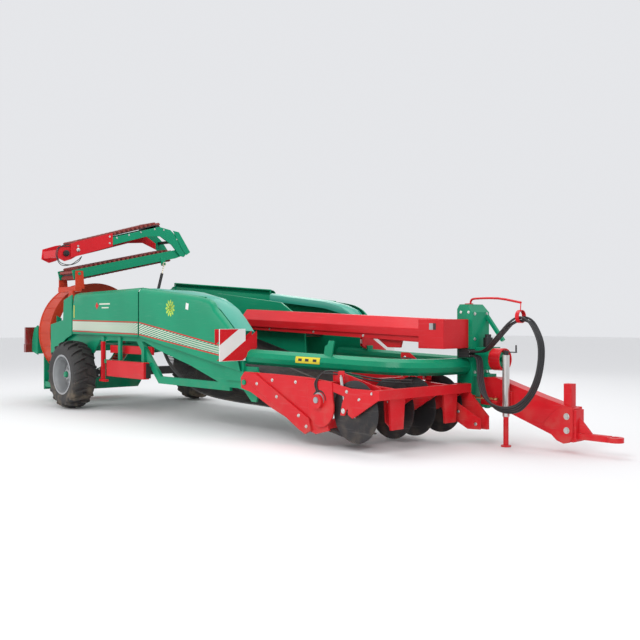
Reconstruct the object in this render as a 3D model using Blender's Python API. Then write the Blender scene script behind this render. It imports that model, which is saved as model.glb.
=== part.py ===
"""Trailed two-row potato harvester: chassis, wheels, digging unit, webs, ring elevator, folding discharge
elevator, drawbar and jack. Blender 4.5, metres, +X towards the tractor, +Y to the left, +Z up."""

import math

import bmesh
import bpy
from mathutils import Matrix, Vector

# Overall sizes
OVERALL_WIDTH = 2.95          # over the tyres
EYE_REACH = 9.00              # axle to the tip of the hitch eye
TAIL_REACH = 2.15             # axle to the rear lamps
PANEL_Y = 1.10                # centre line to the outer face of the side covers

# Gaps
SEAT = 0.0003                 # between faces that rest on each other
PIN_PLAY = 0.0003             # between a pin and its bore
PIN_SIDES = 20

# Wheels
TYRE_DIAMETER = 1.17
TYRE_WIDTH = 0.41
RIM_DIAMETER = 0.66
STUB_RADIUS = 0.055

# Sheet and wall thicknesses
WALL = 0.03
SHEET = 0.025
WALL_Y = 1.03                 # centre line to the outer face of the outer walls
MID_WALL_Y = 0.45             # left face of the wall between the main web and the picking table

# Covers: hinge rods as (x, z) of their two ends, and the panels' outlines
HINGE_ROD = 0.012
RIGHT_REAR_HINGE = ((-0.28, 1.985), (1.92, 2.02))
RIGHT_FRONT_HINGE = ((1.96, 2.015), (3.64, 1.84))
LEFT_REAR_HINGE = ((-0.30, 2.23), (2.65, 2.02))
LEFT_FRONT_HINGE = ((2.73, 1.95), (4.22, 1.80))

# Webs: roller centres as (x, z)
WEB_THICK = 0.034
WEB_EDGE_GAP = 0.03
MAIN_FRONT_ROLLER = (6.05, 0.45)
MAIN_REAR_ROLLER = (2.45, 1.28)
REAR_FRONT_ROLLER = (2.10, 1.45)
REAR_REAR_ROLLER = (-1.00, 1.32)
TABLE_FRONT_ROLLER = (3.90, 1.36)
TABLE_REAR_ROLLER = (-0.90, 1.34)
ROLLER_RADIUS = 0.062

# Digging unit
DIGGER_PIVOT = (4.72, 0.70)
DIGGER_RIGHT = -1.13          # outer face of the right side plate
DIGGER_LEFT = 0.52            # outer face of the left side plate
DIGGER_PLATE = 0.025
DISC_DIAMETER = 0.72
DISC_X, DISC_Z = 6.75, 0.47
DISC_Y = {"outer_right": -1.09, "inner_right": -0.49, "inner_left": -0.10, "outer_left": 0.40}
DISC_PIN = 0.020
DISC_STEPS = 24
BEAM_X = 7.080                # rear face of the beam in front of the discs
PIVOT_PIN = 0.035

# Ring elevator
RING_RADIUS = 0.95
RING_WIDTH = 0.48
RING_FRONT_X = -1.27
RING_Y, RING_Z = -0.15, 1.28
RING_ROLLER = 0.06

# Discharge elevator, in the plane across the machine
ELEVATOR_X = (-1.02, -0.42)
ELEVATOR_PIVOT = (-0.95, 2.35)
FOLD_PIVOT = (1.22, 2.84)
ELEVATOR_DEPTH = 0.16
ELEVATOR_PIN = 0.03
ELEVATOR_ROLLER = 0.05
LOWER_BELT = (0.02, 1.95)     # roller places along the lower section
UPPER_ROLLERS = ((-0.92, 2.860), (0.68, 3.320))
LIFT_X = ELEVATOR_X[1] + 0.05
LIFT_EYE = (0.80, 2.60)
LIFT_FOOT = (0.50, 1.50)

# Warning boards
BOARD = 0.423
BOARD_Z = 0.98
PAD_TOP = 1.15                # top of the pads that the boards' arms stand on

# Front tower, drawbar and jack
TOWER_X = (6.82, 7.06)
TOWER_Y = (0.67, 1.02)
TOWER_TOP = 1.72
STEER_X, STEER_Y = 7.20, 0.79
STEER_PIN = 0.035
STEER_LUGS_Z = (0.468, 0.812)
HITCH_FACE_X = 8.45
JACK_X, JACK_Y = 7.61, 0.60
JACK_RADIUS = 0.042
TUBE_RADIUS = 0.105
LEFT_TUBE_RADIUS = 0.084
CYLINDER_Z = 0.56
CYLINDER_BASE = (6.72, 0.585)
CYLINDER_EYE = (7.45, 0.62)
CYLINDER_RADIUS = 0.028
ROD_RADIUS = 0.012
EYE_HOLE = 0.024
HOSE_DIAMETER = 0.026
HOSE_COUNT = 4
HOSE_SPACING = 0.032
HOSE_ROW_Y = 0.607            # middle of the row of couplings
HOSE_ROWS_Z = (1.075, 1.125)
COUPLING_FACE = 7.10
STUB = 0.03
ARM_TIP = (7.98, 0.36, 1.72)
SADDLE_DROP = 0.16
SADDLE_RADIUS = 0.068
EYE_PIN = 0.012               # pins of the cylinders

AXLE_X = (TAIL_REACH - EYE_REACH) / 2
TYRE_RADIUS = TYRE_DIAMETER / 2
RIM_RADIUS = RIM_DIAMETER / 2
WHEEL_Y = (OVERALL_WIDTH - TYRE_WIDTH) / 2
STEPS = 28

GREEN = ("emerald_paint", (0.0, 0.32, 0.16), 0.35, 0.0)
RED = ("red_paint", (0.75, 0.02, 0.03), 0.35, 0.0)
ORANGE = ("orange_red_paint", (0.72, 0.08, 0.02), 0.4, 0.0)
RUBBER = ("black_rubber", (0.02, 0.02, 0.02), 0.8, 0.0)
DARK = ("dark_steel", (0.05, 0.05, 0.055), 0.5, 0.6)
SILVER = ("silver_paint", (0.6, 0.6, 0.6), 0.4, 0.5)
CHROME = ("chrome_rod", (0.8, 0.75, 0.6), 0.15, 1.0)
LAMP = ("lamp_red", (0.25, 0.01, 0.01), 0.3, 0.0)
BELT = ("brown_rubber", (0.25, 0.04, 0.03), 0.7, 0.0)
WHITE = ("board_white", (0.85, 0.85, 0.85), 0.5, 0.0)


# ---------------------------------------------------------------- shapes

def box(x, y, z):
    """A block between the (low, high) pairs."""
    size = [b - a for a, b in (x, y, z)]
    middle = [(a + b) / 2 for a, b in (x, y, z)]
    mesh = bmesh.new()
    bmesh.ops.create_cube(mesh, size=1, matrix=Matrix.Translation(middle) @ Matrix.Diagonal((*size, 1)))
    return mesh


def at(axis, along, first, second):
    """A point from its place along an axis and its two other coordinates, in X, Y, Z order."""
    return {"x": (along, first, second), "y": (first, along, second), "z": (first, second, along)}[axis]


def plate(axis, outline, low, high):
    """An outline across an axis, extruded between two places on it."""
    mesh = bmesh.new()
    face = mesh.faces.new([mesh.verts.new(at(axis, low, *point)) for point in outline])
    grown = bmesh.ops.extrude_face_region(mesh, geom=[face])["geom"]
    ends = [v for v in grown if isinstance(v, bmesh.types.BMVert)]
    bmesh.ops.translate(mesh, verts=ends, vec=at(axis, high - low, 0, 0))
    bmesh.ops.recalc_face_normals(mesh, faces=mesh.faces)
    return mesh


def rod(start, end, radius, sides=12):
    """A solid cylinder between two points."""
    start, end = Vector(start), Vector(end)
    along = end - start
    place = Matrix.Translation((start + end) / 2) @ along.to_track_quat("Z", "Y").to_matrix().to_4x4()
    mesh = bmesh.new()
    bmesh.ops.create_cone(mesh, cap_ends=True, segments=sides, radius1=radius, radius2=radius,
                          depth=along.length, matrix=place)
    return mesh


def bar(start, end, width, height):
    """A rectangular bar between two points: width is level, height is across it."""
    start, end = Vector(start), Vector(end)
    along = (end - start).normalized()
    side = along.cross(Vector((0, 0, 1)))
    side = side.normalized() if side.length > 1e-6 else Vector((0, 1, 0))
    up = side.cross(along)
    turn = Matrix((along, side, up)).transposed().to_4x4()
    size = Matrix.Diagonal(((end - start).length, width, height, 1))
    mesh = bmesh.new()
    bmesh.ops.create_cube(mesh, size=1, matrix=Matrix.Translation((start + end) / 2) @ turn @ size)
    return mesh


def turned(axis, centre, profile, steps=STEPS):
    """A closed profile of (along, radius) points spun about an axis through centre."""
    mesh = bmesh.new()
    centre = Vector(centre)
    corners = {"x": lambda a, r: (a, 0, r), "y": lambda a, r: (0, a, r), "z": lambda a, r: (r, 0, a)}[axis]
    ring = [mesh.verts.new(centre + Vector(corners(*point))) for point in profile]
    edges = [mesh.edges.new((a, b)) for a, b in zip(ring, ring[1:] + ring[:1])]
    bmesh.ops.spin(mesh, geom=ring + edges, cent=centre, axis=at(axis, 1, 0, 0), angle=2 * math.pi,
                   steps=steps, use_merge=True)
    bmesh.ops.remove_doubles(mesh, verts=mesh.verts, dist=1e-5)
    bmesh.ops.recalc_face_normals(mesh, faces=mesh.faces)
    return mesh


def smooth(points, count):
    """Points on one smooth curve through the given ones, count for each stretch."""
    knots = [Vector(p) for p in points]
    knots = [2 * knots[0] - knots[1]] + knots + [2 * knots[-1] - knots[-2]]
    path = []
    for a, b, c, d in zip(knots, knots[1:], knots[2:], knots[3:]):
        for i in range(count):
            t = i / count
            path.append(0.5 * (2 * b + (c - a) * t + (2 * a - 5 * b + 4 * c - d) * t * t
                               + (3 * b - a - 3 * c + d) * t ** 3))
    return path + [knots[-2]]


def pipe(points, radius, resolution=2):
    """A round bar along points, with filled caps."""
    curve = bpy.data.curves.new("pipe", "CURVE")
    curve.dimensions = "3D"
    curve.bevel_depth = radius
    curve.bevel_resolution = resolution
    curve.use_fill_caps = True
    spline = curve.splines.new("POLY")
    spline.points.add(len(points) - 1)
    for point, place in zip(spline.points, points):
        point.co = (*place, 1)
    holder = bpy.data.objects.new("pipe", curve)
    bpy.context.scene.collection.objects.link(holder)
    bpy.context.view_layer.update()
    source = bpy.data.meshes.new_from_object(holder.evaluated_get(bpy.context.evaluated_depsgraph_get()))
    mesh = bmesh.new()
    mesh.from_mesh(source)
    bmesh.ops.remove_doubles(mesh, verts=mesh.verts, dist=1e-5)
    bmesh.ops.recalc_face_normals(mesh, faces=mesh.faces)
    bpy.data.objects.remove(holder)
    return mesh


def clear_bore(pin, sides):
    """The radius of a bore with that many sides, whose flats clear a round pin."""
    return (pin + PIN_PLAY) / math.cos(math.pi / sides)


def arc(centre, radius, start, end, count):
    """Points on an arc, angles in degrees."""
    return [(centre[0] + radius * math.cos(math.radians(start + (end - start) * i / count)),
             centre[1] + radius * math.sin(math.radians(start + (end - start) * i / count)))
            for i in range(count + 1)]


# ---------------------------------------------------------------- objects

def material(finish):
    name, colour, rough, metal = finish
    found = bpy.data.materials.get(name)
    if found:
        return found
    made = bpy.data.materials.new(name)
    made.use_nodes = True
    shader = made.node_tree.nodes["Principled BSDF"]
    shader.inputs["Base Color"].default_value = (*colour, 1)
    shader.inputs["Roughness"].default_value = rough
    shader.inputs["Metallic"].default_value = metal
    return made


def holder(mesh, name):
    data = bpy.data.meshes.new(name)
    mesh.to_mesh(data)
    mesh.free()
    item = bpy.data.objects.new(name, data)
    bpy.context.scene.collection.objects.link(item)
    return item


def combine(item, meshes, operation):
    """Unites meshes with an object, or cuts them out of it."""
    group = bpy.data.collections.new("operands")
    bpy.context.scene.collection.children.link(group)
    for mesh in meshes:
        operand = holder(mesh, "operand")
        bpy.context.scene.collection.objects.unlink(operand)
        group.objects.link(operand)
    step = item.modifiers.new("combine", "BOOLEAN")
    step.operation = operation
    step.solver = "EXACT"
    step.operand_type = "COLLECTION"
    step.collection = group
    bpy.context.view_layer.update()
    result = bpy.data.meshes.new_from_object(item.evaluated_get(bpy.context.evaluated_depsgraph_get()))
    item.modifiers.clear()
    item.data = result
    for operand in list(group.objects):
        bpy.data.objects.remove(operand)
    bpy.data.collections.remove(group)


def solid(name, shapes, finish, pivot=None, cuts=()):
    """One sub-part: shapes joined, cuts taken out, its origin on its pivot and its parent there too."""
    item = holder(shapes[0], name)
    if len(shapes) > 1:
        combine(item, shapes[1:], "UNION")
    if cuts:
        combine(item, cuts, "DIFFERENCE")
    item.data.materials.clear()
    item.data.materials.append(material(finish))
    item.data.shade_smooth()
    item.data.set_sharp_from_angle(angle=math.radians(35))
    parent = pivots[pivot] if pivot else machine
    offset = Vector(pivot_places[pivot]) if pivot else Vector()
    item.data.transform(Matrix.Translation(-offset))
    item.parent = parent
    return item


def clear():
    for item in list(bpy.data.objects):
        bpy.data.objects.remove(item)


# ---------------------------------------------------------------- chassis

RIGHT_TOP = [(-1.18, 1.40), (-0.70, 1.46), (-0.66, 1.84), (-0.30, 1.93), (1.93, 1.97), (3.60, 1.79),
             (3.95, 1.60), (4.15, 1.38), (4.18, 0.90)]
WALL_FRONT = [(4.86, 0.90), (4.90, 0.60), (4.84, 0.44), (4.74, 0.44), (4.55, 0.60)]
WALL_BOTTOM = [(4.20, 0.60), (3.30, 0.86), (2.45, 1.05), (2.00, 1.18), (0.55, 1.18), (0.30, 0.95),
               (-0.35, 0.95), (-1.18, 0.85)]


def web_cheek(y_low, y_high):
    """The side bar that carries the front roller of the main web."""
    x, z = MAIN_FRONT_ROLLER
    return plate("y", [(4.30, 0.62), (x - 0.05, z - 0.085)] + arc((x, z), 0.09, -80, 80, 6)
                 + [(4.70, 0.88), (4.30, 0.88)], y_low, y_high)


def roller(centre, y_low, y_high):
    return rod((centre[0], y_low, centre[1]), (centre[0], y_high, centre[1]), ROLLER_RADIUS, 24)


def hinge_rail(side, start, end):
    """The rod that a cover turns on, with a lug at each end down to the wall."""
    y = side * (WALL_Y - WALL)
    (x0, z0), (x1, z1) = start, end
    shapes = [rod((x0, y, z0), (x1, y, z1), HINGE_ROD, 12)]
    inner, outer = sorted((y - side * 0.02, y))
    deep, wide = sorted((y - side * 0.019, y + side * 0.02))
    for x, z in ((x0, z0), (x1 - 0.008, z1)):
        shapes.append(box((x, x + 0.008), (inner, outer), (z - 0.16, z + 0.006)))
        shapes.append(box((x + 0.001, x + 0.007), (deep, wide), (z - 0.155, z - 0.07)))
    return shapes


def chassis_frame():
    inner = WALL_Y - WALL
    shapes = [
        plate("y", RIGHT_TOP + WALL_FRONT + WALL_BOTTOM, -WALL_Y, -inner),
        plate("y", RIGHT_TOP + WALL_FRONT + WALL_BOTTOM, MID_WALL_Y - WALL, MID_WALL_Y),
        plate("y", [(-1.18, 1.40), (-0.70, 1.46), (-0.66, 1.98), (-0.38, 2.17), (2.69, 1.93), (4.20, 1.72),
                    (4.80, 1.58), (4.88, 1.20), (4.62, 0.90), (4.55, 0.60)] + WALL_BOTTOM, inner, WALL_Y),
        web_cheek(-WALL_Y + 0.001, -inner - 0.001),
        web_cheek(MID_WALL_Y - WALL + 0.001, MID_WALL_Y - 0.001),
    ]
    for centre in (MAIN_FRONT_ROLLER, MAIN_REAR_ROLLER, REAR_FRONT_ROLLER, REAR_REAR_ROLLER):
        shapes.append(roller(centre, -inner - 0.01, MID_WALL_Y - WALL + 0.01))
    for centre in (TABLE_FRONT_ROLLER, TABLE_REAR_ROLLER):
        shapes.append(roller(centre, MID_WALL_Y - 0.01, inner + 0.01))
    for x, z in ((0.24, 1.04), (-1.05, 1.02), (1.90, 1.195), (4.30, 0.68)):
        shapes.append(box((x - 0.06, x + 0.06), (-inner - 0.01, inner + 0.01), (z - 0.05, z + 0.05)))
    for side in (-1, 1):
        low, high = sorted((side * (inner - 0.02), side * (WALL_Y - 0.002)))
        shapes.append(plate("y", [(2.42, 0.55), (4.25, 0.55), (4.25, 0.66), (2.48, 0.66), (1.88, 1.22),
                                  (1.72, 1.22)], low, high))
        low, high = sorted((side * WALL_Y - side * 0.01, side * (WALL_Y + 0.03)))
        shapes.append(box((0.66, 0.74), (low, high), (0.52, 1.24)))
        shapes.append(box((0.70, 2.22), (low, high), (0.80, 0.86)))
        shapes.append(box((1.22, 1.30), (low, high), (0.82, 1.24)))
        shapes.append(box((1.96, 2.04), (low, high), (0.82, 1.10)))
    x, z = DIGGER_PIVOT
    shapes.append(rod((x, -WALL_Y + 0.01, z), (x, DIGGER_RIGHT - 0.02, z), PIVOT_PIN, PIN_SIDES))
    shapes.append(rod((x, MID_WALL_Y - 0.01, z), (x, DIGGER_LEFT + 0.02, z), PIVOT_PIN, PIN_SIDES))
    y, z = LIFT_FOOT
    shapes.append(box((LIFT_X - 0.055, LIFT_X - 0.035), (MID_WALL_Y - 0.01, y + 0.035), (z - 0.05, z + 0.04)))
    shapes.append(rod((LIFT_X - 0.05, y, z), (LIFT_X + 0.025, y, z), EYE_PIN, 12))
    for side, rear, front in ((-1, RIGHT_REAR_HINGE, RIGHT_FRONT_HINGE), (1, LEFT_REAR_HINGE, LEFT_FRONT_HINGE)):
        shapes += hinge_rail(side, *rear) + hinge_rail(side, *front)
    return solid("chassis_frame", shapes, GREEN)


def axle_beam():
    inner = WALL_Y - WALL - SEAT
    shapes = [box((-0.07, 0.07), (-inner + 0.01, inner - 0.01), (TYRE_RADIUS - 0.07, TYRE_RADIUS + 0.07))]
    for side in (-1, 1):
        low, high = sorted((side * inner, side * (inner - 0.06)))
        shapes.append(box((-0.16, 0.16), (low, high), (TYRE_RADIUS - 0.09, 0.98)))
        low, high = sorted((side * inner, side * (inner - 0.058)))
        shapes.append(box((-0.12, 0.12), (low, high), (0.97, 1.20)))
        shapes.append(rod((0, side * (inner - 0.04), TYRE_RADIUS), (0, side * (WHEEL_Y + 0.10), TYRE_RADIUS),
                          STUB_RADIUS, 24))
    return solid("axle_beam", shapes, DARK)


def wheel(side_name, side):
    centre = (0, side * WHEEL_Y, TYRE_RADIUS)
    pivot = "wheel_" + side_name
    half = TYRE_WIDTH / 2
    shoulder = TYRE_RADIUS - 0.06
    seat = RIM_RADIUS + SEAT
    tread = [(-half, seat), (-half, shoulder), (-half + 0.05, TYRE_RADIUS), (half - 0.05, TYRE_RADIUS),
             (half, shoulder), (half, seat)]
    solid("tyre_" + side_name, [turned("y", centre, tread)], RUBBER, pivot)
    bore = clear_bore(STUB_RADIUS, STEPS)
    dish = [(-half + 0.01, RIM_RADIUS), (half - 0.01, RIM_RADIUS), (half - 0.01, RIM_RADIUS - 0.03),
            (0.075, RIM_RADIUS - 0.04), (0.055, 0.12), (0.10, 0.11), (0.10, bore), (-0.07, bore),
            (-0.07, 0.11), (0.03, 0.12), (0.05, RIM_RADIUS - 0.04), (-half + 0.01, RIM_RADIUS - 0.03)]
    solid("rim_" + side_name, [turned("y", centre, [(side * a, r) for a, r in dish])], SILVER, pivot)


# ---------------------------------------------------------------- covers

COVER_TOPS = {
    "right_rear": [(-0.34, 1.74), (-0.29, 1.985), (1.925, 2.022)],
    "right_front": [(1.955, 2.018), (3.66, 1.836), (4.00, 1.66), (4.40, 1.35)],
    "left_rear": [(-0.34, 1.98), (-0.31, 2.232), (2.66, 2.018)],
    "left_front": [(2.72, 1.953), (4.24, 1.796), (4.72, 1.70), (4.93, 1.50)],
}
COVER_BOTTOMS = {
    "right_rear": [(1.925, 1.26), (-0.34, 1.28)],
    "right_front": [(4.58, 0.84), (1.955, 1.26)],
    "left_rear": [(2.66, 1.18), (-0.34, 1.28)],
    "left_front": [(4.96, 0.86), (2.72, 1.17)],
}


def cover(name, side):
    """A side panel with a top flange that reaches in to its hinge rod."""
    top, bottom = COVER_TOPS[name], COVER_BOTTOMS[name]
    low, high = sorted((side * PANEL_Y, side * (PANEL_Y - SHEET)))
    panel = plate("y", top + bottom, low, high)
    edge = WALL_Y - WALL + HINGE_ROD + SEAT
    low, high = sorted((side * (PANEL_Y - 0.001), side * edge))
    first = 1 if "rear" in name else 0
    run = top[first:]
    under = [(x, z - SHEET) for x, z in run]
    flange = plate("y", run + under[::-1], low, high)
    return solid("cover_" + name, [panel, flange], GREEN, "cover_" + name)


# ---------------------------------------------------------------- rear panels, lamps and boards

def rear_panel(side_name, side):
    """The fixed panel above and behind a wheel, with a flange in to the wall."""
    low, high = sorted((side * PANEL_Y, side * (PANEL_Y - SHEET)))
    rise = 0.0 if side < 0 else 0.22
    outline = [(-1.23, 1.44), (-0.72, 1.52), (-0.69, 1.88 + rise), (-0.37, 1.97 + rise), (-0.37, 1.26),
               (-0.62, 1.18), (-1.00, 0.95), (-1.23, 0.91)]
    reach, back = sorted((side * (PANEL_Y - 0.001), side * (WALL_Y + SEAT)))
    shapes = [plate("y", outline, low, high),
              plate("y", [(-1.10, 1.35), (-0.74, 1.41), (-0.74, 1.385), (-1.10, 1.325)], reach, back),
              box((-1.10, -0.70), (reach, back), (1.06, 1.085))]
    solid("rear_panel_" + side_name, shapes, GREEN)


def ring_cradle():
    """The plates and rollers that carry the ring, joined to the walls' rear ends."""
    x0, x1 = RING_FRONT_X - RING_WIDTH, RING_FRONT_X
    front = (x1 + 0.02, x1 + 0.05)
    back = (x0 - 0.05, x0 - 0.02)
    reach = RING_RADIUS + RING_ROLLER + SEAT
    shapes = []
    for span in (front, back):
        inner = arc((RING_Y, RING_Z), RING_RADIUS - 0.17, 20, -200, 18)
        outer = [(-0.98, 1.60), (-0.98, 0.20), (0.72, 0.20), (0.98, 0.60), (0.98, 1.60), (0.80, 1.60)]
        shapes.append(plate("x", inner + outer, *span))
    for angle in (-50, -130):
        y = RING_Y + reach * math.cos(math.radians(angle))
        z = RING_Z + reach * math.sin(math.radians(angle))
        shapes.append(rod((front[1] - 0.01, y, z), (back[0] + 0.01, y, z), RING_ROLLER, 36))
    for y, z in ((-0.92, 0.30), (0.90, 0.68)):
        shapes.append(box((back[0] + 0.01, front[1] - 0.01), (y - 0.05, y + 0.05), (z - 0.05, z + 0.05)))
    for side in (-1, 1):
        low, high = sorted((side * (WALL_Y - WALL - SEAT), side * (WALL_Y - WALL - 0.05)))
        shapes.append(box((front[0] + 0.01, -1.12), (low, high), (0.90, 1.38)))
    return solid("ring_cradle", shapes, GREEN)


def ring_elevator():
    x0, x1 = RING_FRONT_X - RING_WIDTH, RING_FRONT_X
    inner = RING_RADIUS - 0.035
    lip = RING_RADIUS - 0.16
    profile = [(x0, RING_RADIUS), (x1, RING_RADIUS), (x1, lip), (x1 - 0.025, lip), (x1 - 0.025, inner),
               (x0 + 0.025, inner), (x0 + 0.025, lip), (x0, lip)]
    shapes = [turned("x", (0, RING_Y, RING_Z), profile, 36)]
    pockets = 12
    for i in range(pockets):
        turn = 2 * math.pi * (i + 0.5) / pockets
        across = Vector((0, math.cos(turn), math.sin(turn)))
        centre = Vector((0, RING_Y, RING_Z))
        start = centre + across * (lip + 0.01)
        end = centre + across * (inner + 0.01)
        paddle = bmesh.new()
        side = Vector((0, -across.z, across.y))
        place = Matrix((across, side, Vector((1, 0, 0)))).transposed().to_4x4()
        size = Matrix.Diagonal(((end - start).length, 0.02, RING_WIDTH - 0.03, 1))
        middle = (start + end) / 2 + Vector(((x0 + x1) / 2, 0, 0))
        bmesh.ops.create_cube(paddle, size=1, matrix=Matrix.Translation(middle) @ place @ size)
        shapes.append(paddle)
    return solid("ring_elevator", shapes, ORANGE, "ring")


def tail():
    """Rear shields, the lamp bar and the lamps."""
    back = RING_FRONT_X - RING_WIDTH - 0.05 - SEAT
    lamp_front = -TAIL_REACH + 0.09
    shapes = []
    for side in (-1, 1):
        low, high = sorted((side * PANEL_Y, side * (PANEL_Y - SHEET)))
        shapes.append(plate("y", [(back - 0.01, 1.42), (back - 0.16, 1.36), (lamp_front + SEAT, 1.12),
                                  (lamp_front + SEAT, 0.92), (back - 0.01, 0.86)], low, high))
    shapes.append(box((lamp_front + SEAT, lamp_front + 0.04), (-PANEL_Y + 0.001, PANEL_Y - 0.001), (0.92, 1.10)))
    shapes.append(box((back - 0.03, back), (-PANEL_Y + 0.001, -0.78), (0.88, 1.40)))
    shapes.append(box((back - 0.03, back), (0.88, PANEL_Y - 0.001), (0.88, 1.40)))
    solid("rear_light_bar", shapes, GREEN)
    for side_name, side in (("right", -1), ("left", 1)):
        low, high = sorted((side * (PANEL_Y + 0.12), side * (PANEL_Y - 0.10)))
        solid("rear_lamp_" + side_name,
              [box((-TAIL_REACH, lamp_front), (low, high), (0.90, 1.06)),
               box((-TAIL_REACH + 0.03, lamp_front - 0.002), (low, high), (1.055, 1.38))], LAMP)


def warning_boards():
    """Square boards facing forward, each on an arm from the tube beside it."""
    for side_name, side, x, y in (("right", -1, 4.62, 1.00), ("left", 1, 5.00, 0.92)):
        inner = 1.045
        low, high = sorted((side * inner, side * (inner + BOARD)))
        reach, root = sorted((side * (inner + 0.10), side * (y - 0.15)))
        foot = sorted((side * (y - 0.04), side * (y + 0.035)))
        shapes = [box((x, x + 0.012), (low, high), (BOARD_Z, BOARD_Z + BOARD)),
                  box((x - 0.02, x + 0.001), (reach, root), (BOARD_Z + 0.20, BOARD_Z + 0.26)),
                  box((x - 0.10 if side < 0 else x - 0.015, x + 0.02 if side > 0 else x - 0.01), foot,
                      (PAD_TOP + SEAT, BOARD_Z + 0.25))]
        solid("warning_board_" + side_name, shapes, WHITE)


# ---------------------------------------------------------------- webs

def inset(points, depth):
    """A line of points moved to its left by depth."""
    moved = []
    for i, (x, z) in enumerate(points):
        before, after = points[max(i - 1, 0)], points[min(i + 1, len(points) - 1)]
        dx, dz = after[0] - before[0], after[1] - before[1]
        size = math.hypot(dx, dz)
        moved.append((x - dz / size * depth, z + dx / size * depth))
    return moved


def snug(radius):
    """The inside radius of a belt with eight straights to a half turn, round a roller."""
    return radius / math.cos(math.pi / 16) + SEAT


def belt(front, rear, sag, y_low, y_high):
    """A closed web round a front and a rear roller, and the space inside it.
    sag lists (x, z) of the outer side of a slack return run, from the rear to the front."""
    inner = snug(ROLLER_RADIUS)
    slope = math.degrees(math.atan2(rear[1] - front[1], front[0] - rear[0]))
    outlines = []
    for radius, depth in ((inner + WEB_THICK, 0.0), (inner, WEB_THICK)):
        points = arc(front, radius, -90 - slope, 90 - slope, 8)
        points += arc(rear, radius, 90 - slope, 202.5 - slope if sag else 270 - slope, 5 if sag else 8)
        outlines.append(points + inset(sag, depth) if sag else points)
    outside, inside = outlines
    return plate("y", outside, y_low, y_high), plate("y", inside, y_low - 0.01, y_high + 0.01)


def webs():
    right = -(WALL_Y - WALL) + WEB_EDGE_GAP
    left = MID_WALL_Y - WALL - WEB_EDGE_GAP
    sag = [(2.38, 1.10), (2.62, 0.82), (3.05, 0.58), (3.55, 0.44), (4.20, 0.39), (4.90, 0.375), (5.50, 0.36)]
    body, hole = belt(MAIN_FRONT_ROLLER, MAIN_REAR_ROLLER, sag, right, left)
    solid("main_web", [body], DARK, cuts=[hole])
    body, hole = belt(REAR_FRONT_ROLLER, REAR_REAR_ROLLER, [], right, left)
    solid("rear_web", [body], DARK, cuts=[hole])
    body, hole = belt(TABLE_FRONT_ROLLER, TABLE_REAR_ROLLER, [], MID_WALL_Y + 0.02, WALL_Y - WALL - 0.02)
    solid("picking_table_belt", [body], RUBBER, cuts=[hole])


# ---------------------------------------------------------------- front tower, tubes and top beam

def tubes():
    right = smooth([(4.44, -0.950, 1.035), (4.86, -0.88, 1.02), (5.70, -0.615, 0.985), (6.45, -0.38, 0.955),
                    (6.74, -0.20, 0.945), (6.88, 0.10, 0.94), (6.93, 0.35, 0.94)], 3)
    right.append((6.93, TOWER_Y[0] - SEAT, 0.94))
    flange = plate("y", [(4.20, 0.70), (4.61, 0.70), (4.61, 1.11), (4.40, 1.11), (4.20, 0.98)],
                   -WALL_Y - 0.034, -WALL_Y - SEAT)
    tab = plate("y", [(5.72, 1.02), (5.86, 1.02), (5.92, 1.26), (5.82, 1.26), (5.80, 1.21), (5.75, 1.19)],
                -0.64, -0.62)
    shapes = [pipe(right, TUBE_RADIUS, 3), flange, box((4.36, 4.60), (-WALL_Y - 0.02, -0.95), (0.94, PAD_TOP)), tab]
    solid("right_side_tube", shapes, GREEN)
    inner = WALL_Y - WALL
    left = smooth([(4.42, 0.905, 1.035), (5.00, 0.915, 1.02), (5.80, 0.98, 0.99), (6.40, 1.07, 0.965),
                   (6.72, 1.165, 0.95), (6.86, 1.15, 0.94), (6.94, 1.09, 0.94)], 3)
    left.append((6.94, TOWER_Y[1] + SEAT, 0.94))
    shapes = [pipe(left, LEFT_TUBE_RADIUS, 3), box((4.38, 4.60), (0.87, inner - SEAT), (0.90, 1.10)),
              box((4.94, 5.04), (0.86, 0.975), (1.00, PAD_TOP))]
    solid("left_side_tube", shapes, GREEN)


def front_tower():
    x0, x1 = TOWER_X
    y0, y1 = TOWER_Y
    side = [(x0, 0.43), (x1, 0.43), (x1, TOWER_TOP - 0.10), (x1 - 0.10, TOWER_TOP), (x0 + 0.04, TOWER_TOP),
            (x0, TOWER_TOP - 0.06)]
    shapes = [plate("y", side, y0, y1)]
    low, high = STEER_LUGS_Z
    for a, b in ((low - 0.035, low), (high, high + 0.035)):
        shapes.append(box((x0 + 0.1, STEER_X + 0.07), (STEER_Y - 0.095, STEER_Y + 0.095), (a, b)))
    shapes.append(rod((STEER_X, STEER_Y, low - 0.05), (STEER_X, STEER_Y, high + 0.05), STEER_PIN, PIN_SIDES))
    shapes.append(box((x0 - 0.16, x0 + 0.02), (y0 - 0.13, y0 + 0.02), (CYLINDER_Z - 0.065, CYLINDER_Z - 0.035)))
    shapes.append(rod((CYLINDER_BASE[0], CYLINDER_BASE[1], CYLINDER_Z - 0.05),
                      (CYLINDER_BASE[0], CYLINDER_BASE[1], CYLINDER_Z + 0.04), EYE_PIN, 12))
    shapes.append(bar((x1 - 0.03, y1 - 0.035, TOWER_TOP - 0.12), (STEER_X + 0.10, y1 - 0.035, 1.26), 0.05, 0.04))
    cut = box((x0 - 0.01, x0 + 0.10), (y1 - 0.12, y1 + 0.01), (TOWER_TOP - 0.25, TOWER_TOP + 0.01))
    solid("front_tower", shapes, GREEN, cuts=[cut])


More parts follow.
